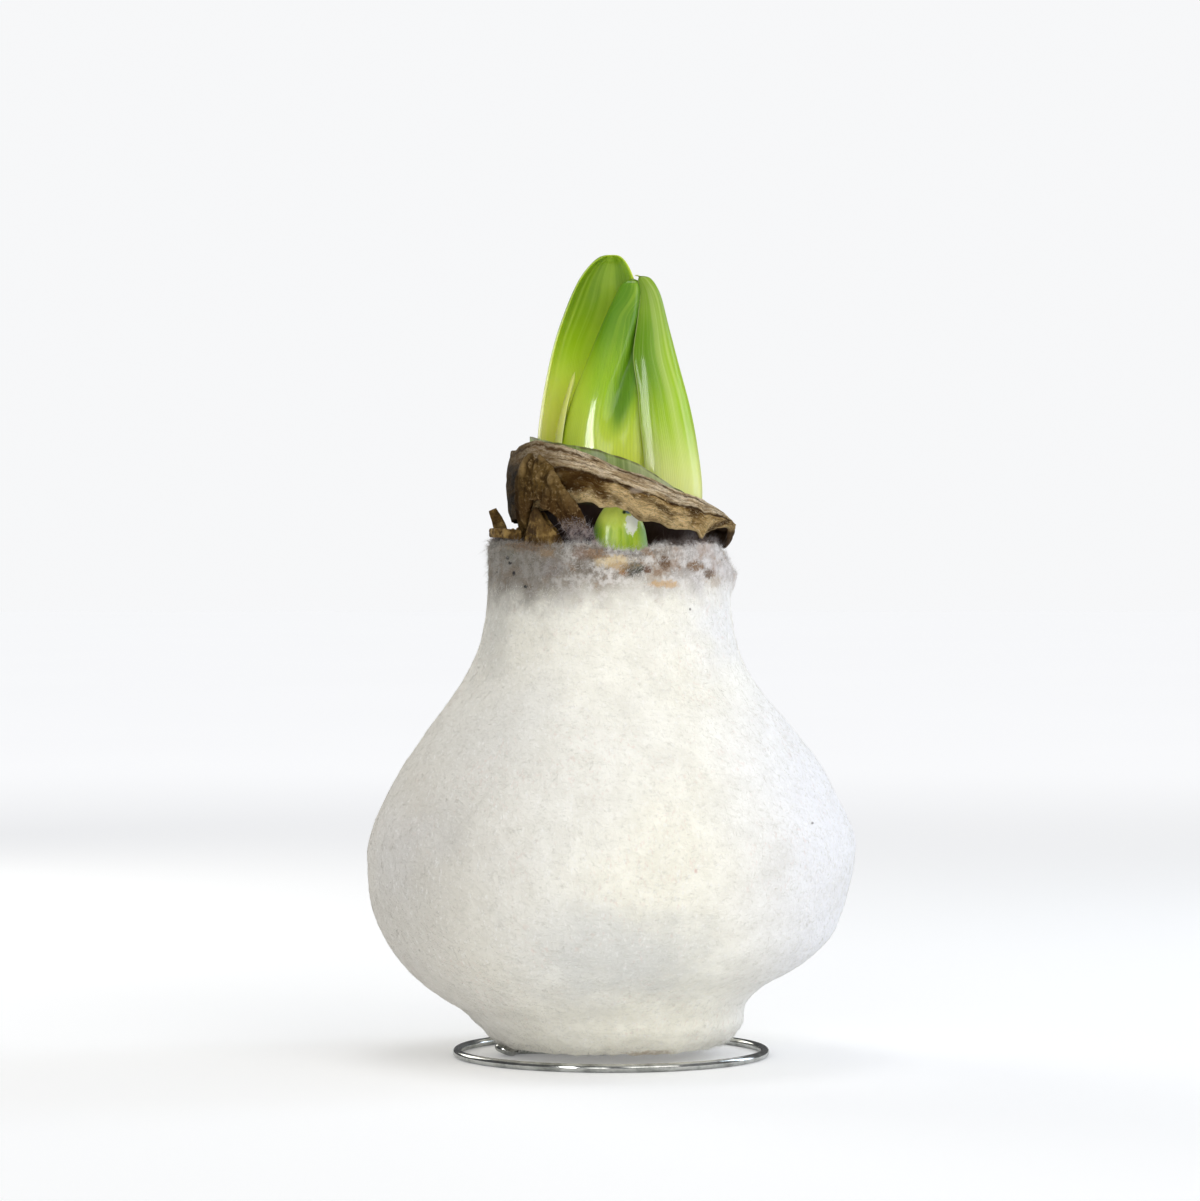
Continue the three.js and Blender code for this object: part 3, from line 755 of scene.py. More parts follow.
neckWool = dict(
    dryPatches=[  # place and reach of tan and brown hairs
        ((-3.8, -24.5, 106.4), (4.4, 6, 2.2)), ((-18, -17, 107.8), (7.5, 8, 1.5)),
        ((15, -20, 104.4), (2.6, 6, 1.1)), ((21.5, -11, 103), (1.8, 7, 2.4)),
        ((10, -22, 106.8), (1.6, 6, 1.2))],
    fibres=dict(count=15000, seed=5, length=(0.6, 2.0), width=0.036, lift=0.2),
    tufts=dict(count=3000, seed=6, length=(1.0, 2.4), width=0.06, lift=0.25),
    # long hairs along the rim, then short ones on the leg that hangs into the wool
    crest=dict(count=1000, seed=8, length=(1.3, 3.0), width=0.034, lift=0.12, up=1.1),
    fuzz=dict(count=2200, seed=7, length=(0.6, 1.9), width=0.045, lift=0.2),
)


def makeNeckFibre():
    material, tree, shader, place = newMaterial("neckFibre", **{
        "Sheen Weight": 0.2, "Sheen Roughness": 0.4, "Specular IOR Level": 0.2})
    side, _, height = axes(place)
    tone = cloud(place, 1100, 2, 0.6)
    base = blendColour(fade(tone, 0.36, 0.6), (198, 192, 186), (248, 246, 244))
    tan = fade(cloud(place, 190, 5, 0.7), 0.5, 0.64, 0, 0.7)
    base = veil(base, tan, (190, 158, 118))
    # painted shade: darker to the left
    base = tinted(base, side, 0.002, -0.02, 0.75, (148, 142, 130))
    lilac = times(fade(height, 0.1085, 0.1105), fade(side, -0.001, -0.004, 0, 0.8))
    base = veil(base, lilac, (148, 134, 134))
    for centre, reach in neckWool["dryPatches"]:
        dry = spotMask(place, centre, reach, 2.2)
        base = veil(base, times(dry, 0.7), (156, 122, 84))
    # painted shade: a ragged dark band where the rim lies under the collar's overhang
    torn = times(minus(cloud(place, 420, 4, 0.7), 0.5), 0.005)
    shadeUnderCollar = fade(plus(height, torn), 0.108, 0.1093)  # painted shade under the collar
    shadeUnderCollar = times(shadeUnderCollar, fade(side, 0.006, 0.012, 0, 0.88))
    base = veil(base, shadeUnderCollar, (66, 46, 38))
    feed(tree, shader, base, fade(tone, 0.3, 0.7, 0.95, 0.8))
    return material


def woolStrands(name, piece, settings, wanted, material):
    place, normal, draw = pickRoots(piece, settings["count"], settings["seed"], wanted)
    count = len(place)
    loose = draw.normal(size=(count, 3))
    up = np.array([[0, 0, 1.0]])
    steep = np.clip((place[:, 2:3] - 99) / 9, 0, 1)
    way = unit(normal * settings["lift"] + up * (0.1 + settings.get("up", 0.5) * steep) + loose * 0.55)
    length = draw.uniform(*settings["length"], count) * (0.5 + 0.5 * steep[:, 0])
    bend = (np.roll(loose, 1, axis=1) * 0.45 - up * 0.2 - normal * 0.25) * length[:, None]
    roots = dict(place=place - normal * 0.05, normal=unit(loose + normal), way=way, length=length, bend=bend,
                 width=draw.uniform(0.6, 1.2, count) * settings["width"])
    makeStrands(name, roots, material)


def makeNeckWool(coatPiece, strapPiece):
    def onRim(centres, normals):
        outside = (centres * normals * (1, 1, 0)).sum(axis=1) + normals[:, 2] * 24 > 0
        crest = np.clip((centres[:, 2] - 98.5) / 6, 0, 1) + 2.5 * (normals[:, 2] > 0.5)
        return outside * (centres[:, 2] > 98.5) * crest

    def onCrest(centres, normals):
        middle = (centres[:, 0] > -4) * (centres[:, 0] < 7)
        return (centres[:, 2] > 105) * (normals[:, 2] > 0.2) * (0.2 + middle)

    def onLeg(centres, normals):
        lower = np.clip((114.5 - centres[:, 2]) / 4, 0, 1) * (centres[:, 0] > -12.5) * (centres[:, 0] < 2)
        return lower * (normals[:, 1] < 0.2)
    material = makeNeckFibre()
    woolStrands("neckWool", coatPiece, neckWool["fibres"], onRim, material)
    woolStrands("neckTufts", coatPiece, neckWool["tufts"], onRim, material)
    woolStrands("crestHairs", coatPiece, neckWool["crest"], onCrest, material)
    woolStrands("legFuzz", strapPiece, neckWool["fuzz"], onLeg, material)
    print("neck wool made")


def dressBulb():
    material, tree, shader, place = newMaterial("bulbSkin", **{"Specular IOR Level": 0.35})
    broad, fine = streaks(place, (420, 420, 45))
    base = blendColour(fade(broad, 0.35, 0.65), (86, 58, 40), (142, 106, 72))
    base = tinted(base, fine, 0.5, 0.7, 0.6, (186, 156, 112))
    lift = plus(broad, fine)
    feed(tree, shader, base, fade(fine, 0.3, 0.7, 0.82, 0.6), lift, 0.25)
    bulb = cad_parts["bulb"]
    bulb.data.materials.clear()
    bulb.data.materials.append(material)


scales = dict(
    neckX=-0.6, ledge=98.3, crest=106, around=260, rise=22,
    tatters=[  # turn, width, height
        (95, 20, 1.6), (142, 14, 7), (184, 26, 5.4), (208, 6, 3.4), (226, 7, 7.6), (237, 9, 5), (356, 7, 2.4)],
    layers=[(22.5, 1.1, 0, 0.0), (20.6, 0.8, 1.3, -0.6)],  # radius, wall, seed, taller
    curl=[  # lies on the rim of the coat, in rows of x, y, z and half width
        (-21.95, 5.3, 110.8, 0.9), (-24.9, 0.85, 110.9, 0.95), (-24.7, -5.1, 110.9, 1),
        (-22.4, -10.6, 110.8, 1), (-18.9, -13.3, 110.4, 1.1)],
    tatter=[(-22.9, -5.3, 110.6, 1.3), (-23.5, -5.4, 112.4, 1.35), (-25, -5.7, 115.8, 0.9)],
    tatterFacing=(-0.35, -0.94, 0),
)


def scaleTop(turn, seed):
    frayed = 0.6 * math.sin(5 * turn) + 0.5 * math.sin(11 * turn + 1)
    torn = 0.9 * noise.noise(ring(6, turn, seed)) + 0.5 * noise.noise(ring(22, turn, seed))
    return scales["crest"] + frayed + torn + bumps(turn, scales["tatters"])


def makeHusk(name, dark, mid, light, fineness):
    material, tree, shader, place = newMaterial(name, **{"Specular IOR Level": 0.1})
    broad, fine = streaks(attribute(tree, "flow"), fineness)
    relief = attribute(tree, "relief", "Fac")
    patches = cloud(place, 210, 5, 0.7)
    base = blendColour(fade(patches, 0.36, 0.6), dark, mid)
    golden = fade(cloud(place, 420, 4, 0.65), 0.47, 0.66, 0, 0.75)
    base = blendColour(golden, base, light)
    # painted highlight on the raised relief and painted shade in its hollows
    base = blendColour(fade(relief, 0.1, 0.9, 0, 0.6), base, light)
    base = blendColour(fade(relief, -0.15, -0.85, 0, 0.8), base, dark)
    base = blendColour(fade(fine, 0.46, 0.34, 0, 0.3), base, dark)
    base = blendColour(fade(broad, 0.56, 0.72, 0, 0.3), base, light)
    lift = plus(times(broad, 1.2), fine)
    lift = plus(lift, cloud(place, 620, 3, 0.6))
    feed(tree, shader, base, fade(fine, 0.3, 0.7, 0.78, 0.52), lift, 0.3)
    return material


def stripPoint(rows, share, rise, lift, facing=None):
    x, y, z, half = along(rows, rise)
    ahead = along(rows, min(rise + 0.02, 1))[:3] - along(rows, max(rise - 0.02, 0))[:3]
    middle = Vector((x, y, z))
    out = Vector(facing or (x - scales["neckX"], y, 0)).normalized()
    side = Vector(ahead).normalized().cross(out).normalized()
    return middle + side * (2 * share - 1) * half + out * lift, out


def makeNeckScales(material):
    made = bmesh.new()
    rings = scales["rise"], scales["rise"]
    for layer, (radius, wall, seed, taller) in enumerate(scales["layers"]):
        bm = wallTube(scales["around"], *rings)

        def place(at):
            turn, rise, outside = wallSpot(at, *rings)
            top = scaleTop(turn, seed) + taller
            high = mix(scales["ledge"], top, rise)
            thin = 1 - 0.65 * rise ** 3
            rough = 0.22 * grain(radius * math.cos(turn), radius * math.sin(turn), high / 4 + seed, 1.6)
            reach = radius - (0 if outside else wall * thin) + rough * (rise > 0) - 0.35 * layer * rise
            point = Vector((scales["neckX"] + reach * math.cos(turn), reach * math.sin(turn), high))
            return point, ring(radius, turn, high), rough * 3, 1
        shape(bm, place)
        made.from_mesh(meshFrom("layer", bm))
    addStrip(made, scales["curl"], 1.1, 16, 70, 0.5)
    addStrip(made, scales["tatter"], 1.1, 14, 30, 0.3, scales["tatterFacing"])
    finishPiece("neckScales", made, material, ["neck_scales"])
    print("neck scales made")


# A closed leathery strip along rows of x, y, z and half width, added to a mesh
def addStrip(made, rows, thickness, across, rise, ragged=0.25, facing=None):
    bm = unitTube(2 * across, rise)
    bmesh.ops.holes_fill(bm, edges=[e for e in bm.edges if e.is_boundary])

    def place(at):
        turn = math.atan2(at.y, at.x)
        share = 0.5 + 0.5 * math.cos(turn)
        plump = math.copysign(abs(math.sin(turn)) ** 0.6, math.sin(turn)) * thickness / 2
        ends = 1 - 0.7 * abs(2 * at.z - 1) ** 12
        point, out = stripPoint(rows, share, at.z, plump * ends, facing)
        rough = ragged * grain(*point, 1.7) + 0.5 * ragged * grain(*point, 0.7)
        return point + out * rough, Vector((at.z * 20, 0, share * 9)), rough * 2, 1
    shape(bm, place)
    bmesh.ops.recalc_face_normals(bm, faces=bm.faces)
    made.from_mesh(meshFrom("strip", bm))


collar = dict(
    centre=(2.05, -1.5), reach=(23.2, 20), wall=1.3, bulge=1.1, around=420, rise=34,
    flowRadius=22, flowTop=14, insideRelief=-3,
    grooves=[(0.61, 0.045, 0.8), (0.93, 0.03, 0.5)],  # share of the rise, width, depth
    lines=[(8.6, 0.6, 0.8), (11, 0.3, 0.5), (13, 0.5, 0.85)],  # dark lines: place up to flowTop, width, share
    edges=[  # turn, top, bottom
        (0, 112.9, 109.6), (20, 113.6, 107.6), (60, 117.6, 110), (90, 121.4, 112), (130, 126, 113),
        (165, 128.2, 113), (185, 128.2, 113.2), (198, 128.3, 113.8), (206, 129.4, 114.2), (219, 130.2, 115),
        (232, 129.4, 116), (241, 128.8, 117), (247, 128, 117.1), (255, 126.9, 117.3), (259, 126.2, 116),
        (267, 124.7, 116.2), (273.5, 123.7, 115.4), (279.6, 123.1, 113.3), (286, 122.2, 113.3),
        (291, 121.2, 112.9), (296, 120.3, 111.7), (303, 119.3, 111.5), (309.8, 118.7, 111.5),
        (314.3, 118.2, 110.8), (316.9, 118, 109.5), (321.2, 117.4, 110.9), (329.5, 116.1, 111.6),
        (332.8, 115.7, 111.9), (347, 114, 112.2), (355, 113.2, 111.6), (360, 112.9, 109.6)],
)
strap = dict(
    across=72, rise=84, wall=1.1, archFrom=0.42, archTo=0.58, archTop=0.53,
    # height, turns of the left edge, of both sides of the arch and of the right edge, stand-off at each edge
    rows=[
        (104.9, 197, 204, 247, 259, -1.5, -0.9), (107.7, 199, 207, 245.5, 257.6, -1.3, -0.6),
        (110.4, 202, 211, 242.6, 255.6, -0.8, 0.8), (112.9, 203.4, 214.6, 239.4, 252.8, 0.1, 1.3),
        (115.1, 204.4, 217.6, 234.6, 250.6, 0.9, 1.8), (117.1, 206.2, 221.6, 228.4, 248, 1.6, 2.2),
        (118.9, 208, 223.4, 229.4, 245, 2, 2.4), (121, 210, 223, 228, 241, 2.2, 2.3),
        (123.9, 211.6, 221.8, 225.8, 236, 1.8, 1.8), (126.2, 213.4, 219.4, 222.4, 228.8, 1, 0.9),
        (127.2, 215, 218.8, 221, 224.6, 0.2, 0.1)],
)


def collarPoint(turn, out, height):
    (middleX, middleY), (reachX, reachY) = collar["centre"], collar["reach"]
    x, y = (reachX + out) * math.cos(turn), (reachY + out) * math.sin(turn)
    return Vector((middleX + x, middleY + y, height))


def collarRelief(turn, rise, tall):
    x, y = collar["flowRadius"] * math.cos(turn), collar["flowRadius"] * math.sin(turn)
    up = rise * tall
    smooth = 1 - 0.75 * ease(rise, 0.5, 0.7)
    ridges = noise.noise(Vector((x / 9, y / 9, up / 2.3)))
    lumps = noise.noise(Vector((x / 4.2, y / 4.2, up / 2.2 + 7))) * smooth
    fine = noise.noise(Vector((x / 1.3, y / 1.3, up / 1.1 + 3))) * smooth
    wander = 0.04 * noise.noise(Vector((x / 5, y / 5, 2)))
    grooves = sum(deep * math.exp(-((rise + wander - at) / wide) ** 2) for at, wide, deep in collar["grooves"])
    high = 0.75 * ridges + 1.15 * lumps + 0.3 * fine - grooves
    return high * (1 - 0.85 * bump(turn, 196, 30))  # smoother to the left


# Crumpled dry skin: lumps, and thin cracks between them
def makeCrumpleGroup():
    group, given, out = newGroup("crumples", [("Flow", "vector"), ("Stretch", "vector")],
                                 [("Lumps", "value"), ("Cracks", "value")])
    spread = scaled(given.outputs["Flow"], given.outputs["Stretch"])
    lumps = cloud(spread, 1.0, 5, 0.66, 0.5)
    group.links.new(lumps, out.inputs["Lumps"])
    lines = cloud(spread, 0.9, 4, 0.6, 0.9)
    lines = calc("ABSOLUTE", minus(lines, 0.5))
    group.links.new(fade(lines, 0.035, 0.0), out.inputs["Cracks"])
    return group


crumpleGroup = makeCrumpleGroup()


def makeCollarHusk():
    material, tree, shader, place = newMaterial("collarHusk", **{"Specular IOR Level": 0.03})
    flow = attribute(tree, "flow")
    relief = attribute(tree, "relief", "Fac")
    rise = axes(flow)[2]
    broad, fine = streaks(flow, (0.3, 0.3, 1.3))
    lobes = cloud(scaled(flow, (0.16, 0.16, 0.34)), 1.0, 4, 0.6, 0.6)
    crumbs = cloud(scaled(flow, (1.1, 1.1, 1.5)), 1.0, 5, 0.75, 0.3)
    crumple = useGroup(crumpleGroup, {"Flow": flow, "Stretch": (0.34, 0.34, 0.6)})
    base = blendColour(fade(lobes, 0.36, 0.52), (94, 66, 28), (170, 134, 76))
    base = tinted(base, lobes, 0.5, 0.62, 1, (222, 188, 128))
    side, _, height = axes(place)
    gold = times(fade(rise, 8.2, 5.8), fade(side, -0.0025, 0.0005))
    gold = calc("MAXIMUM", gold, fade(rise, 4.0, 2.6))
    gold = times(gold, fade(side, 0.0175, 0.015, 0.3, 1.0))
    ragged = fade(lobes, 0.36, 0.56, 0.3, 0.95)
    base = veil(base, times(gold, ragged), (250, 218, 158))
    # painted shade in the hollow below the upper band
    hollowShade = times(fade(rise, 3.4, 4.8), fade(rise, 9.4, 8.2))
    hollowShade = times(hollowShade, fade(side, 0.0005, -0.003, 0, 0.8))
    base = veil(base, hollowShade, (74, 48, 14))
    # painted highlight on the raised lumps and painted shade in the creases
    base = tinted(base, relief, 0.1, 0.85, 0.7, (242, 214, 156))
    base = tinted(base, relief, 0.0, -0.75, 0.85, (70, 46, 18))
    # its upper band is smoother and beige, with a few long dark lines
    beige = blendColour(fade(broad, 0.38, 0.6), (180, 158, 124), (242, 226, 196))
    beige = tinted(beige, fine, 0.5, 0.38, 0.45, (108, 78, 52))
    band = fade(rise, 8.2, 10, 0, 0.8)
    base = blendColour(band, base, beige)
    crusty = minus(1.0, times(band, 0.5))
    # painted highlights on the tops of the raised crumbs
    light = times(fade(crumbs, 0.53, 0.64, 0, 0.75), crusty)
    light = times(light, minus(1.0, hollowShade))
    base = veil(base, light, (248, 226, 182))
    # painted shade in the pits between the crumbs
    pitShade = times(fade(crumbs, 0.47, 0.36, 0, 0.5), crusty)
    base = veil(base, pitShade, (82, 54, 24))
    grit = cloud(scaled(flow, (2.6, 2.6, 3.4)), 1.0, 3, 0.65)
    base = tinted(base, grit, 0.46, 0.36, 0.25, (88, 58, 28))
    base = veil(base, times(crumple.outputs["Cracks"], 0.45), (70, 44, 18))
    wander = times(minus(cloud(flow, 0.2, 3, 0.6), 0.5), 3.0)
    broken = fade(cloud(flow, 0.45, 3, 0.6), 0.4, 0.55, 0.25, 1.0)
    for at, wide, share in collar["lines"]:
        away = calc("ABSOLUTE", minus(plus(rise, wander), at))
        line = times(fade(away, wide, 0.15 * wide, 0, share), broken)
        base = veil(base, line, (62, 40, 22))
    base = tinted(base, rise, 0.9, 0.1, 0.6, (216, 190, 142))
    # painted shade: darker towards the left side, and very dark at the far left end
    base = tinted(base, side, -0.006, -0.0135, 0.6, (82, 60, 28))
    dull = times(fade(side, -0.016, -0.0195), fade(height, 0.1275, 0.1235, 0.5, 0.95))
    dark = blendColour(fade(lobes, 0.4, 0.6), (30, 20, 8), (76, 56, 28))
    base = blendColour(dull, base, dark)
    shaded = times(fade(height, 0.1122, 0.1108), fade(side, 0.0198, 0.0212, 0, 0.9))
    base = veil(base, shaded, (58, 38, 26))
    # a painted glint: a pale patch on the band
    paintedGlint = spotMask(place, (5.2, -22.5, 119.7), (1.7, 4, 0.8), 1.6)
    base = veil(base, times(paintedGlint, 0.55), (220, 200, 176))
    # painted shade: the collar's inside is dark
    insideShade = blendColour(fade(side, 0.012, 0.018), (30, 17, 10), (84, 62, 42))
    base = blendColour(fade(relief, -2.0, -2.9, 0, 0.9), base, insideShade)  # its inside
    lift = plus(times(crumple.outputs["Lumps"], 1.2), times(crumbs, 1.3))
    lift = times(lift, minus(1.15, band))
    lift = plus(lift, times(fine, 0.5))
    feed(tree, shader, base, fade(fine, 0.3, 0.7, 0.72, 0.5), lift, 0.75)
    return material


def makeStrapHusk():
    material, tree, shader, place = newMaterial("strapHusk", **{"Specular IOR Level": 0.03})
    flow = attribute(tree, "flow")
    relief = attribute(tree, "relief", "Fac")
    side, _, height = axes(place)
    _, fine = streaks(flow, (0.5, 0.5, 0.16))
    patches = cloud(place, 240, 4, 0.6)
    base = blendColour(fade(patches, 0.36, 0.62), (60, 43, 18), (100, 78, 40))
    base = tinted(base, fine, 0.54, 0.68, 0.3, (150, 126, 84))
    # painted highlight on the ridges and painted shade in the folds
    base = tinted(base, relief, 0.15, 0.9, 0.55, (152, 126, 82))
    base = tinted(base, relief, -0.1, -0.7, 0.6, (50, 33, 15))
    low = times(fade(height, 0.1215, 0.116, 0, 0.6), fade(height, 0.1125, 0.1145))
    base = veil(base, low, (66, 42, 20))
    crumbs = cloud(place, 1100, 4, 0.7)
    base = tinted(base, crumbs, 0.53, 0.68, 0.45, (176, 150, 108))
    base = tinted(base, crumbs, 0.47, 0.34, 0.4, (44, 28, 12))
    grey = times(fade(height, 0.1145, 0.1095), fade(side, -0.0125, -0.0105, 0, 0.9))
    furry = blendColour(fade(cloud(place, 800, 3, 0.6), 0.4, 0.6), (78, 68, 78), (188, 172, 168))
    base = blendColour(grey, base, furry)
    # painted shade: very dark along its left edge, in the gap by the collar
    base = tinted(base, side, -0.0186, -0.0198, 0.8, (40, 26, 13))
    lift = plus(times(crumbs, 1.4), times(fine, 0.6))
    feed(tree, shader, base, fade(fine, 0.3, 0.7, 0.74, 0.55), lift, 0.45)
    return material


def makeCollar(material):
    rings = collar["rise"], collar["rise"]
    bm = wallTube(collar["around"], *rings)

    def place(at):
        turn, rise, outside = wallSpot(at, *rings)
        top, bottom = between(collar["edges"], math.degrees(turn) % 360)
        edge = 0.25 * noise.noise(ring(14, turn, 2))
        relief = collarRelief(turn, rise, top - bottom)
        thin = 1 - 0.45 * abs(2 * rise - 1) ** 4
        out = collar["bulge"] * math.sin(math.pi * rise) + 0.62 * relief * (1 if outside else 0.6)
        out -= 0 if outside else collar["wall"] * thin
        up = mix(bottom + edge, top + edge * 0.6, rise)
        flowing = ring(collar["flowRadius"], turn, rise * collar["flowTop"])
        return collarPoint(turn, out, up), flowing, relief if outside else collar["insideRelief"], 1
    shape(bm, place)
    finishPiece("driedCollar", bm, material, ["dry_collar"])
    print("collar made")


# A leathery flap that hangs from the collar and splits into two legs, with an arch between them
def makeStrap(material):
    bm = unitSheet(strap["across"], strap["rise"])
    inArch = [face for face in bm.faces if face.calc_center_median().y < strap["archTop"]
              and strap["archFrom"] < face.calc_center_median().x < strap["archTo"]]
    bmesh.ops.delete(bm, geom=inArch, context="FACES")
    marks = [0, strap["archFrom"], strap["archTo"], 1]

    def place(at):
        height, *turns, left, right = along(strap["rows"], at.y)
        degrees = float(np.interp(at.x, marks, turns))
        edge = 1 - ease(min(at.x, 1 - at.x), 0, 0.1)
        degrees += 0.7 * edge * noise.noise(Vector((height / 1.6, 3 * at.x, 1)))
        turn = math.radians(degrees)
        folds = noise.noise(Vector((degrees / 5.5, height / 7, 4)))
        folds += 0.5 * noise.noise(Vector((degrees / 3, height / 3, 8)))
        crinkles = noise.noise(Vector((degrees / 1.7, height / 1.5, 6)))
        upper = ease(height, 112, 116)
        ridge = upper * (math.exp(-((at.x - 0.95) / 0.05) ** 2) + 0.6 * math.exp(-((at.x - 0.2) / 0.08) ** 2))
        ridge *= 0.6 + 0.8 * noise.noise(Vector((height / 2.2, at.x, 11)))
        out = mix(left, right, ease(at.x, 0.2, 0.8)) + 0.75 * folds - 0.5 * edge + 0.45 * crinkles + 0.4 * ridge
        relief = folds + 0.5 * crinkles + 0.5 * ridge
        return collarPoint(turn, out, height), Vector((0.4 * degrees, 0, height)), relief, 1 - 0.6 * edge
    shape(bm, place)
    piece = finishPiece("collarStrap", bm, material, ["dry_collar"], strap["wall"])
    print("strap made")
    return piece


leaves = dict(
    standY=1.5, base=97.2, thickness=1, across=48, rise=84,
    shapes=dict(
        leafFrontRight=dict(
            node="leaf_front_right", depth=0.58, first=-75, last=60,
            rows=[(97.2, 0.9, 15.2), (109, 0.9, 15.4), (115, 1.9, 16.6), (120, 2.3, 16.6), (130.2, 2.5, 15.1),
                  (137.8, 2.7, 13.4), (146.3, 3.3, 10.5), (155, 4.1, 7.4), (161.8, 5.2, 4.5), (164.2, 5.2, 3.2),
                  (165.1, 5.7, 1.9), (165.5, 6.4, 0)],
            low=(236, 240, 150), middle=(160, 196, 30), top=(138, 170, 50), pale=(224, 236, 150),
            green=(92, 142, 0), rim=0.6, paleUp=(0.116, 0.137), glow=0.35, shine=0.3),
        leafFrontLeft=dict(
            node="leaf_front_left", depth=0.5, first=70, last=300, lastAtTip=(345, 156, 163), fold=True,
            rows=[(97.2, 0.9, 12), (112, 1.9, 13.2), (120, 2.3, 13.2), (130.2, 2.4, 12.5), (137.8, 2.6, 10.9),
                  (146.3, 3.1, 8.2), (155, 4, 5.6), (161.8, 4.8, 3.2), (163.8, 4.8, 2), (164.8, 4.7, 0)],
            low=(232, 246, 84), middle=(154, 196, 12), top=(98, 148, 24), pale=(214, 238, 84),
            paleUp=(0.121, 0.143), topUp=(0.141, 0.157), paintedLightSide=(-0.002, -0.0085), glow=0.45, shine=0.75),
        leafInner=dict(
            node="leaf_inner", depth=0.56, first=148, last=206, pointed=True,
            rows=[(97.2, 0.5, 13.4), (112, 1.2, 14.2), (122, 1.6, 14.1), (130, 1.6, 13.2), (137, 1.8, 11.9),
                  (142.5, 1.9, 10.4), (145, 2, 9.8)],
            low=(250, 253, 150), middle=(244, 250, 132), top=(230, 242, 110), pale=(252, 253, 180),
            paleUp=(0.119, 0.14), glow=0.6, shine=0.4),
        leafBack=dict(
            node="leaf_back", depth=0.64, first=62, last=188, firstAtTip=(25, 148, 163),
            rows=[(97.2, 0.5, 15), (109, 0.5, 15), (116, 0.4, 15.8), (122, 0.4, 15.9), (131.2, 0.3, 15.5),
                  (141.4, 0, 13.9), (153.3, -0.3, 10.9), (163.9, -0.5, 6.5), (167.3, -0.1, 4.5),
                  (169, 0.2, 2.8), (169.7, 0.4, 1.3), (169.8, 0.4, 0)],
            low=(252, 255, 160), middle=(190, 220, 40), top=(116, 152, 20), pale=(220, 236, 110),
            paleUp=(0.129, 0.153), glow=0.75, shine=0.4),
    ),
    foldTurns=[(97, 248), (130, 257), (137.2, 261), (143, 267.7), (148.8, 280.5), (153.3, 288.7), (157.5, 300),
               (165, 304)],
)


def makeLeafSkin(name, settings):
    material, tree, shader, place = newMaterial(name, **{
        "Specular IOR Level": 0.12, "Coat Weight": settings["shine"], "Coat Roughness": 0.12,
        "Subsurface Weight": settings["glow"], "Subsurface Radius": (1.0, 1.0, 0.25),
        "Subsurface Scale": 0.003})
    flow = attribute(tree, "flow")
    relief = attribute(tree, "relief", "Fac")
    across = axes(flow)[0]
    side, _, height = axes(place)
    base = blendColour(fade(height, *settings["paleUp"]), settings["low"], settings["middle"])
    base = blendColour(fade(height, *settings.get("topUp", (0.141, 0.163))), base, settings["top"])
    if "green" in settings:  # a deeper green patch by its first edge, high up
        patch = times(fade(across, 0.36, 0.12), fade(height, 0.132, 0.147))
        patch = times(patch, fade(height, 0.161, 0.152, 0.3, 0.85))
        base = blendColour(patch, base, settings["green"])
    # painted light: paler to the left side, where more light falls
    if "paintedLightSide" in settings:  # lighter to one side
        base = blendColour(fade(side, *settings["paintedLightSide"], 0, 0.7), base, settings["pale"])
    broad, fine = streaks(flow, (34, 0.9, 1))
    wide = cloud(scaled(flow, (9, 0.8, 1)), 1.0, 2, 0.5)
    base = blendColour(fade(wide, 0.5, 0.72, 0, 0.3), base, settings["pale"])
    base = blendColour(fade(broad, 0.5, 0.72, 0, 0.16), base, settings["pale"])
    veins = calc("SINE", times(across, 440.0))
    veins = plus(times(veins, 0.5), 0.5)
    base = blendColour(times(fade(veins, 0.5, 1.0), 0.1), base, settings["top"])
    # painted shade: darker green in the furrow of the fold
    base = tinted(base, relief, -0.05, -0.8, 0.85, (86, 138, 24))
    base = blendColour(fade(relief, 0.35, 1.0, 0, settings.get("rim", 0.25)), base, settings["pale"])
    lift = plus(times(veins, 0.5), fine)
    feed(tree, shader, base, fade(fine, 0.35, 0.7, 0.3, 0.42), lift, 0.06)
    return material


def shootPoint(turn, middle, half, depth, off, height):  # on a flattened ring round the shoot
    return Vector((middle + (half + off) * math.cos(turn),
                   leaves["standY"] + (depth * half + off) * math.sin(turn), height))


# The turn that a leaf starts or ends at, which may change towards its tip
def openedTurn(settings, end, height):
    turn, low, high = settings.get(end + "AtTip", (settings[end], 0, 1))
    return mix(settings[end], turn, ease(height, low, high))


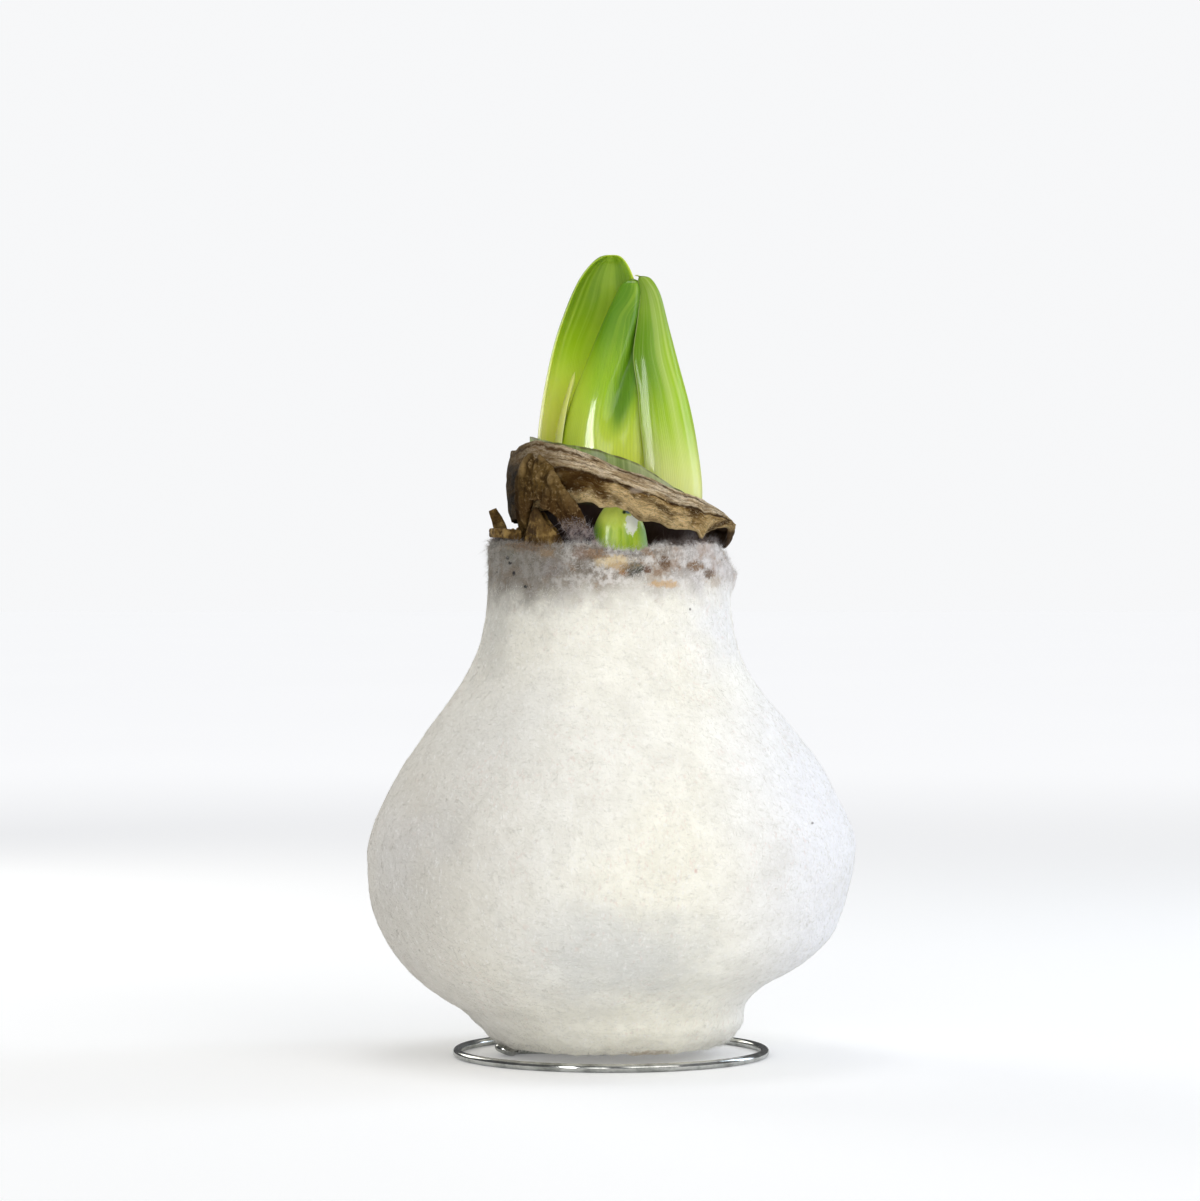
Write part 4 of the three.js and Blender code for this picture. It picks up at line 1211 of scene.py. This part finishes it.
def makeLeaf(name, settings):
    bm = unitSheet(leaves["across"], leaves["rise"])
    rows = settings["rows"]

    def place(at):
        height, middle, half = along(rows, at.y)
        half = max(half, 0)
        spread = 1 - at.y ** 3 if settings.get("pointed") else 1
        first, last = (openedTurn(settings, end, height) for end in ("first", "last"))
        if name == "leafFrontRight":  # its free edge wanders a little
            first += 3.5 * ease(height, 138, 124) - 7 * math.exp(-((height - 149) / 6) ** 2)
        turn = math.radians(mix(first, last, 0.5 + (at.x - 0.5) * spread))
        arc = math.radians(abs(last - first)) * 0.8 * half
        high = 1 - ease(min(at.x, 1 - at.x) * arc, 0, 0.4)
        fold = 0
        if settings.get("fold"):
            middleTurn = between(leaves["foldTurns"], height)[0]
            fold = 1.5 * bump(turn, middleTurn, 11) * ease(height, 128, 142)
            # the relief is lowered over a wider band than the fold, for the painted shade in the furrow
            high -= bump(turn, middleTurn + 5, mix(10, 24, ease(height, 128, 156))) * ease(height, 127, 140)
        ribs = 0.05 * math.sin(21 * turn + 1.5 * math.sin(0.05 * height)) * ease(height, 150, 130)
        ripple = 0.16 * math.sin(5 * turn + 0.05 * height) + 0.05 * grain(7 * turn, at.y, 0, 0.5) + ribs
        reach = (ripple - fold) * min(1, half / 5)
        if name == "leafFrontRight":  # and it clings to the leaf under it
            reach -= 1.3 * (1 - ease(at.x * arc, 0, 3.6))
        point = shootPoint(turn, middle, half, settings["depth"], reach, height)
        body = (1 - abs(2 * at.x - 1) ** 6) * (1 - at.y ** 12)
        return point, Vector((at.x, at.y, settings["first"])), high, max(0.14, body * min(1, half / 2.5))
    shape(bm, place)
    bmesh.ops.remove_doubles(bm, verts=bm.verts, dist=0.002)
    material = makeLeafSkin(name + "Skin", settings)
    finishPiece(name, bm, material, [settings["node"]], leaves["thickness"])


sheath = dict(
    around=200, rise=26, wall=0.8, depth=0.66, top=124, tilt=7.3, peaks=[(265, 35, 2.6), (285, 18, 0.9)],
    rows=[(97.2, 0.8, 17), (109, 0.8, 17.2), (115, 1.8, 19), (120, 2, 19.3), (132, 1, 18.2)],
)


def makeSheathSkin():
    material, tree, shader, place = newMaterial("thinScale", **{"Specular IOR Level": 0.3, "Coat Weight": 0.1})
    flow = attribute(tree, "flow")
    rise = axes(flow)[2]
    broad, fine = streaks(flow, (2.4, 2.4, 0.25))
    base = blendColour(fade(broad, 0.35, 0.65), (118, 142, 58), (156, 174, 96))
    grey = fade(cloud(place, 180, 3), 0.5, 0.66, 0, 0.6)
    base = veil(base, grey, (174, 182, 148))
    side, _, height = axes(place)
    base = tinted(base, side, 0.001, 0.007, 0.4, (198, 196, 158))
    broken = fade(cloud(place, 300, 3), 0.4, 0.6, 0.2, 0.85)
    rim = times(fade(rise, 0.978, 0.992), broken)
    base = veil(base, rim, (92, 86, 44))
    # painted shade: dark low down, where it stands inside the collar
    shadeInCollar = blendColour(fine, (24, 12, 7), (62, 34, 22))
    base = blendColour(fade(height, 0.1195, 0.1165), base, shadeInCollar)
    feed(tree, shader, base, fade(fine, 0.3, 0.7, 0.32, 0.5), fine, 0.15)
    return material


def makeSheath():
    rings = sheath["rise"], sheath["rise"]
    bm = wallTube(sheath["around"], *rings)

    def place(at):
        turn, rise, outside = wallSpot(at, *rings)
        top = sheath["top"] - sheath["tilt"] * math.cos(turn) + bumps(turn, sheath["peaks"])
        top += 0.3 * noise.noise(ring(7, turn, 0))
        height = mix(leaves["base"], top, rise)
        middle, half = between(sheath["rows"], height)
        half += 0.12 * noise.noise(ring(10, turn, height / 14)) * rise
        inward = 0 if outside else sheath["wall"] * (1 - 0.6 * rise ** 4)
        return shootPoint(turn, middle, half, sheath["depth"], -inward, height), ring(12, turn, rise), 0, 1
    shape(bm, place)
    finishPiece("innerScale", bm, makeSheathSkin(), ["inner_scale"])
    print("inner scale made")


sideBud = dict(
    place=(1.7, -14.85), depth=0.55, around=72, rise=60,
    rows=[(0, 97.2), (5.4, 97.2), (6.1, 103), (6, 108), (5.3, 112), (4.2, 114.6), (2.9, 116.4), (1.4, 117.5),
          (0, 117.9)],
    marks=[  # place, reach, tint
        ((3.6, -16.6, 115.6), (1.0, 3, 0.9), (104, 130, 160)),
        ((2.7, -16.6, 115.2), (0.45, 3, 0.45), (52, 66, 40))],
)
rimBud = dict(place=(18.9, -8), around=36, rise=24, radius=1.3, base=101, top=108.6, lean=0.3)


def makeBudSkin():
    material, tree, shader, place = newMaterial("budSkin", **{
        "Specular IOR Level": 0.2, "Coat Weight": 0.35, "Coat Roughness": 0.14, "Subsurface Weight": 0.3,
        "Subsurface Radius": (1.0, 1.0, 0.3), "Subsurface Scale": 0.003})
    flow = attribute(tree, "flow")
    relief = attribute(tree, "relief", "Fac")
    broad, fine = streaks(flow, (0.8, 0.8, 0.06))
    base = blendColour(fade(broad, 0.35, 0.65), (160, 196, 34), (190, 216, 52))
    base = tinted(base, fine, 0.5, 0.7, 0.2, (210, 226, 110))
    across = axes(flow)[0]
    base = tinted(base, across, -2.6, -5.4, 0.8, (96, 148, 74))
    base = tinted(base, across, 3.4, 5.6, 0.65, (172, 216, 160))
    height = axes(place)[2]
    # painted light: paler towards the top
    base = tinted(base, height, 0.111, 0.1148, 0.65, (240, 250, 120))
    torn = times(minus(cloud(place, 1100, 4, 0.7), 0.5), 1.4)
    speck = fade(plus(relief, torn), 0.4, 0.6, 0, 0.95)
    base = veil(base, speck, (248, 251, 236))
    for centre, reach, tint in sideBud["marks"]:
        base = veil(base, spotMask(place, centre, reach, 0.5), tint)
    feed(tree, shader, base, fade(fine, 0.3, 0.7, 0.24, 0.4), fine, 0.08)
    return material


def makeBuds():
    material = makeBudSkin()
    bm = unitTube(sideBud["around"], sideBud["rise"])
    placeX, placeY = sideBud["place"]

    def place(at):
        turn = math.atan2(at.y, at.x)
        radius, height = along(sideBud["rows"], at.z)
        x, y = radius * math.cos(turn), sideBud["depth"] * radius * math.sin(turn)
        membrane = math.exp(-((x - 2.6) / 1.5) ** 2 - ((height - 112.8) / 2.6) ** 2) * (y < 0)
        seam = math.exp(-((x - 1.1 + 0.1 * (height - 108)) / 0.35) ** 2) * (y < 0) * ease(height, 102, 110)
        y -= 0.55 * membrane - 0.16 * seam
        flowing = Vector((x, radius * math.sin(turn), height))
        return Vector((placeX + x, placeY + y, height)), flowing, membrane - 0.2 * seam, 1
    shape(bm, place)
    bmesh.ops.remove_doubles(bm, verts=bm.verts, dist=0.01)
    finishPiece("sideBud", bm, material, ["side_bud"])

    tip = unitTube(rimBud["around"], rimBud["rise"])
    tipX, tipY = rimBud["place"]

    def placeTip(at):
        turn = math.atan2(at.y, at.x)
        share = max(at.z * 1.04 - 0.04, 0)
        radius = rimBud["radius"] * math.sqrt(max(1 - share ** 3, 0)) * (at.z > 0)
        x, y = radius * math.cos(turn), radius * math.sin(turn)
        height = mix(rimBud["base"], rimBud["top"], share)
        point = Vector((tipX + x + rimBud["lean"] * share, tipY + y, height))
        return point, Vector((x, y, height)), 0.55 * share, 1
    shape(tip, placeTip)
    bmesh.ops.remove_doubles(tip, verts=tip.verts, dist=0.01)
    finishPiece("rimBud", tip, material, ["rim_bud"])
    print("buds made")


# how bright the floor looks near the bulb and far from it, and how much of that lights other things
floorSettings = dict(size=6, near=0.17, far=0.46, lit=0.08)


def makeFloor():
    bm = bmesh.new()
    bmesh.ops.create_grid(bm, x_segments=2, y_segments=2, size=floorSettings["size"])
    floor = newObject("floor", meshFrom("floor", bm))
    material, tree, shader, place = newMaterial("paleFloor", **{
        "Roughness": 0.9, "Specular IOR Level": 0.2, "Emission Color": (0.98, 0.985, 1, 1)})
    feed(tree, shader, blendColour(cloud(place, 3, 2), (232, 232, 232), (236, 236, 236)))
    away = after("VectorMath", {0: place}, operation="LENGTH").outputs["Value"]
    seen = addNode(tree, "LightPath").outputs["Is Camera Ray"]
    lit = floorSettings["lit"]
    pale = fade(away, 0.3, 1.3, floorSettings["near"], floorSettings["far"])  # stays pale out to the backdrop
    shown = minus(pale, lit)
    glow = plus(times(seen, shown), lit)
    tree.links.new(glow, shader.inputs["Emission Strength"])
    floor.data.materials.append(material)


setCamera()
setLight()
makeFloor()
makeWire()
coatPiece = makeCoat()
flockFibre = makeFlockFibre()
makeBodyFlock(coatPiece, flockFibre)
makeFootFluff(coatPiece, flockFibre)
makeCollar(makeCollarHusk())
makeNeckWool(coatPiece, makeStrap(makeStrapHusk()))
dressBulb()
makeNeckScales(makeHusk("rimHusk", (66, 46, 18), (118, 90, 44), (172, 142, 86), (1.6, 1.6, 0.22)))
for leafName, leafSettings in leaves["shapes"].items():
    makeLeaf(leafName, leafSettings)
print("leaves made")
makeSheath()
makeBuds()
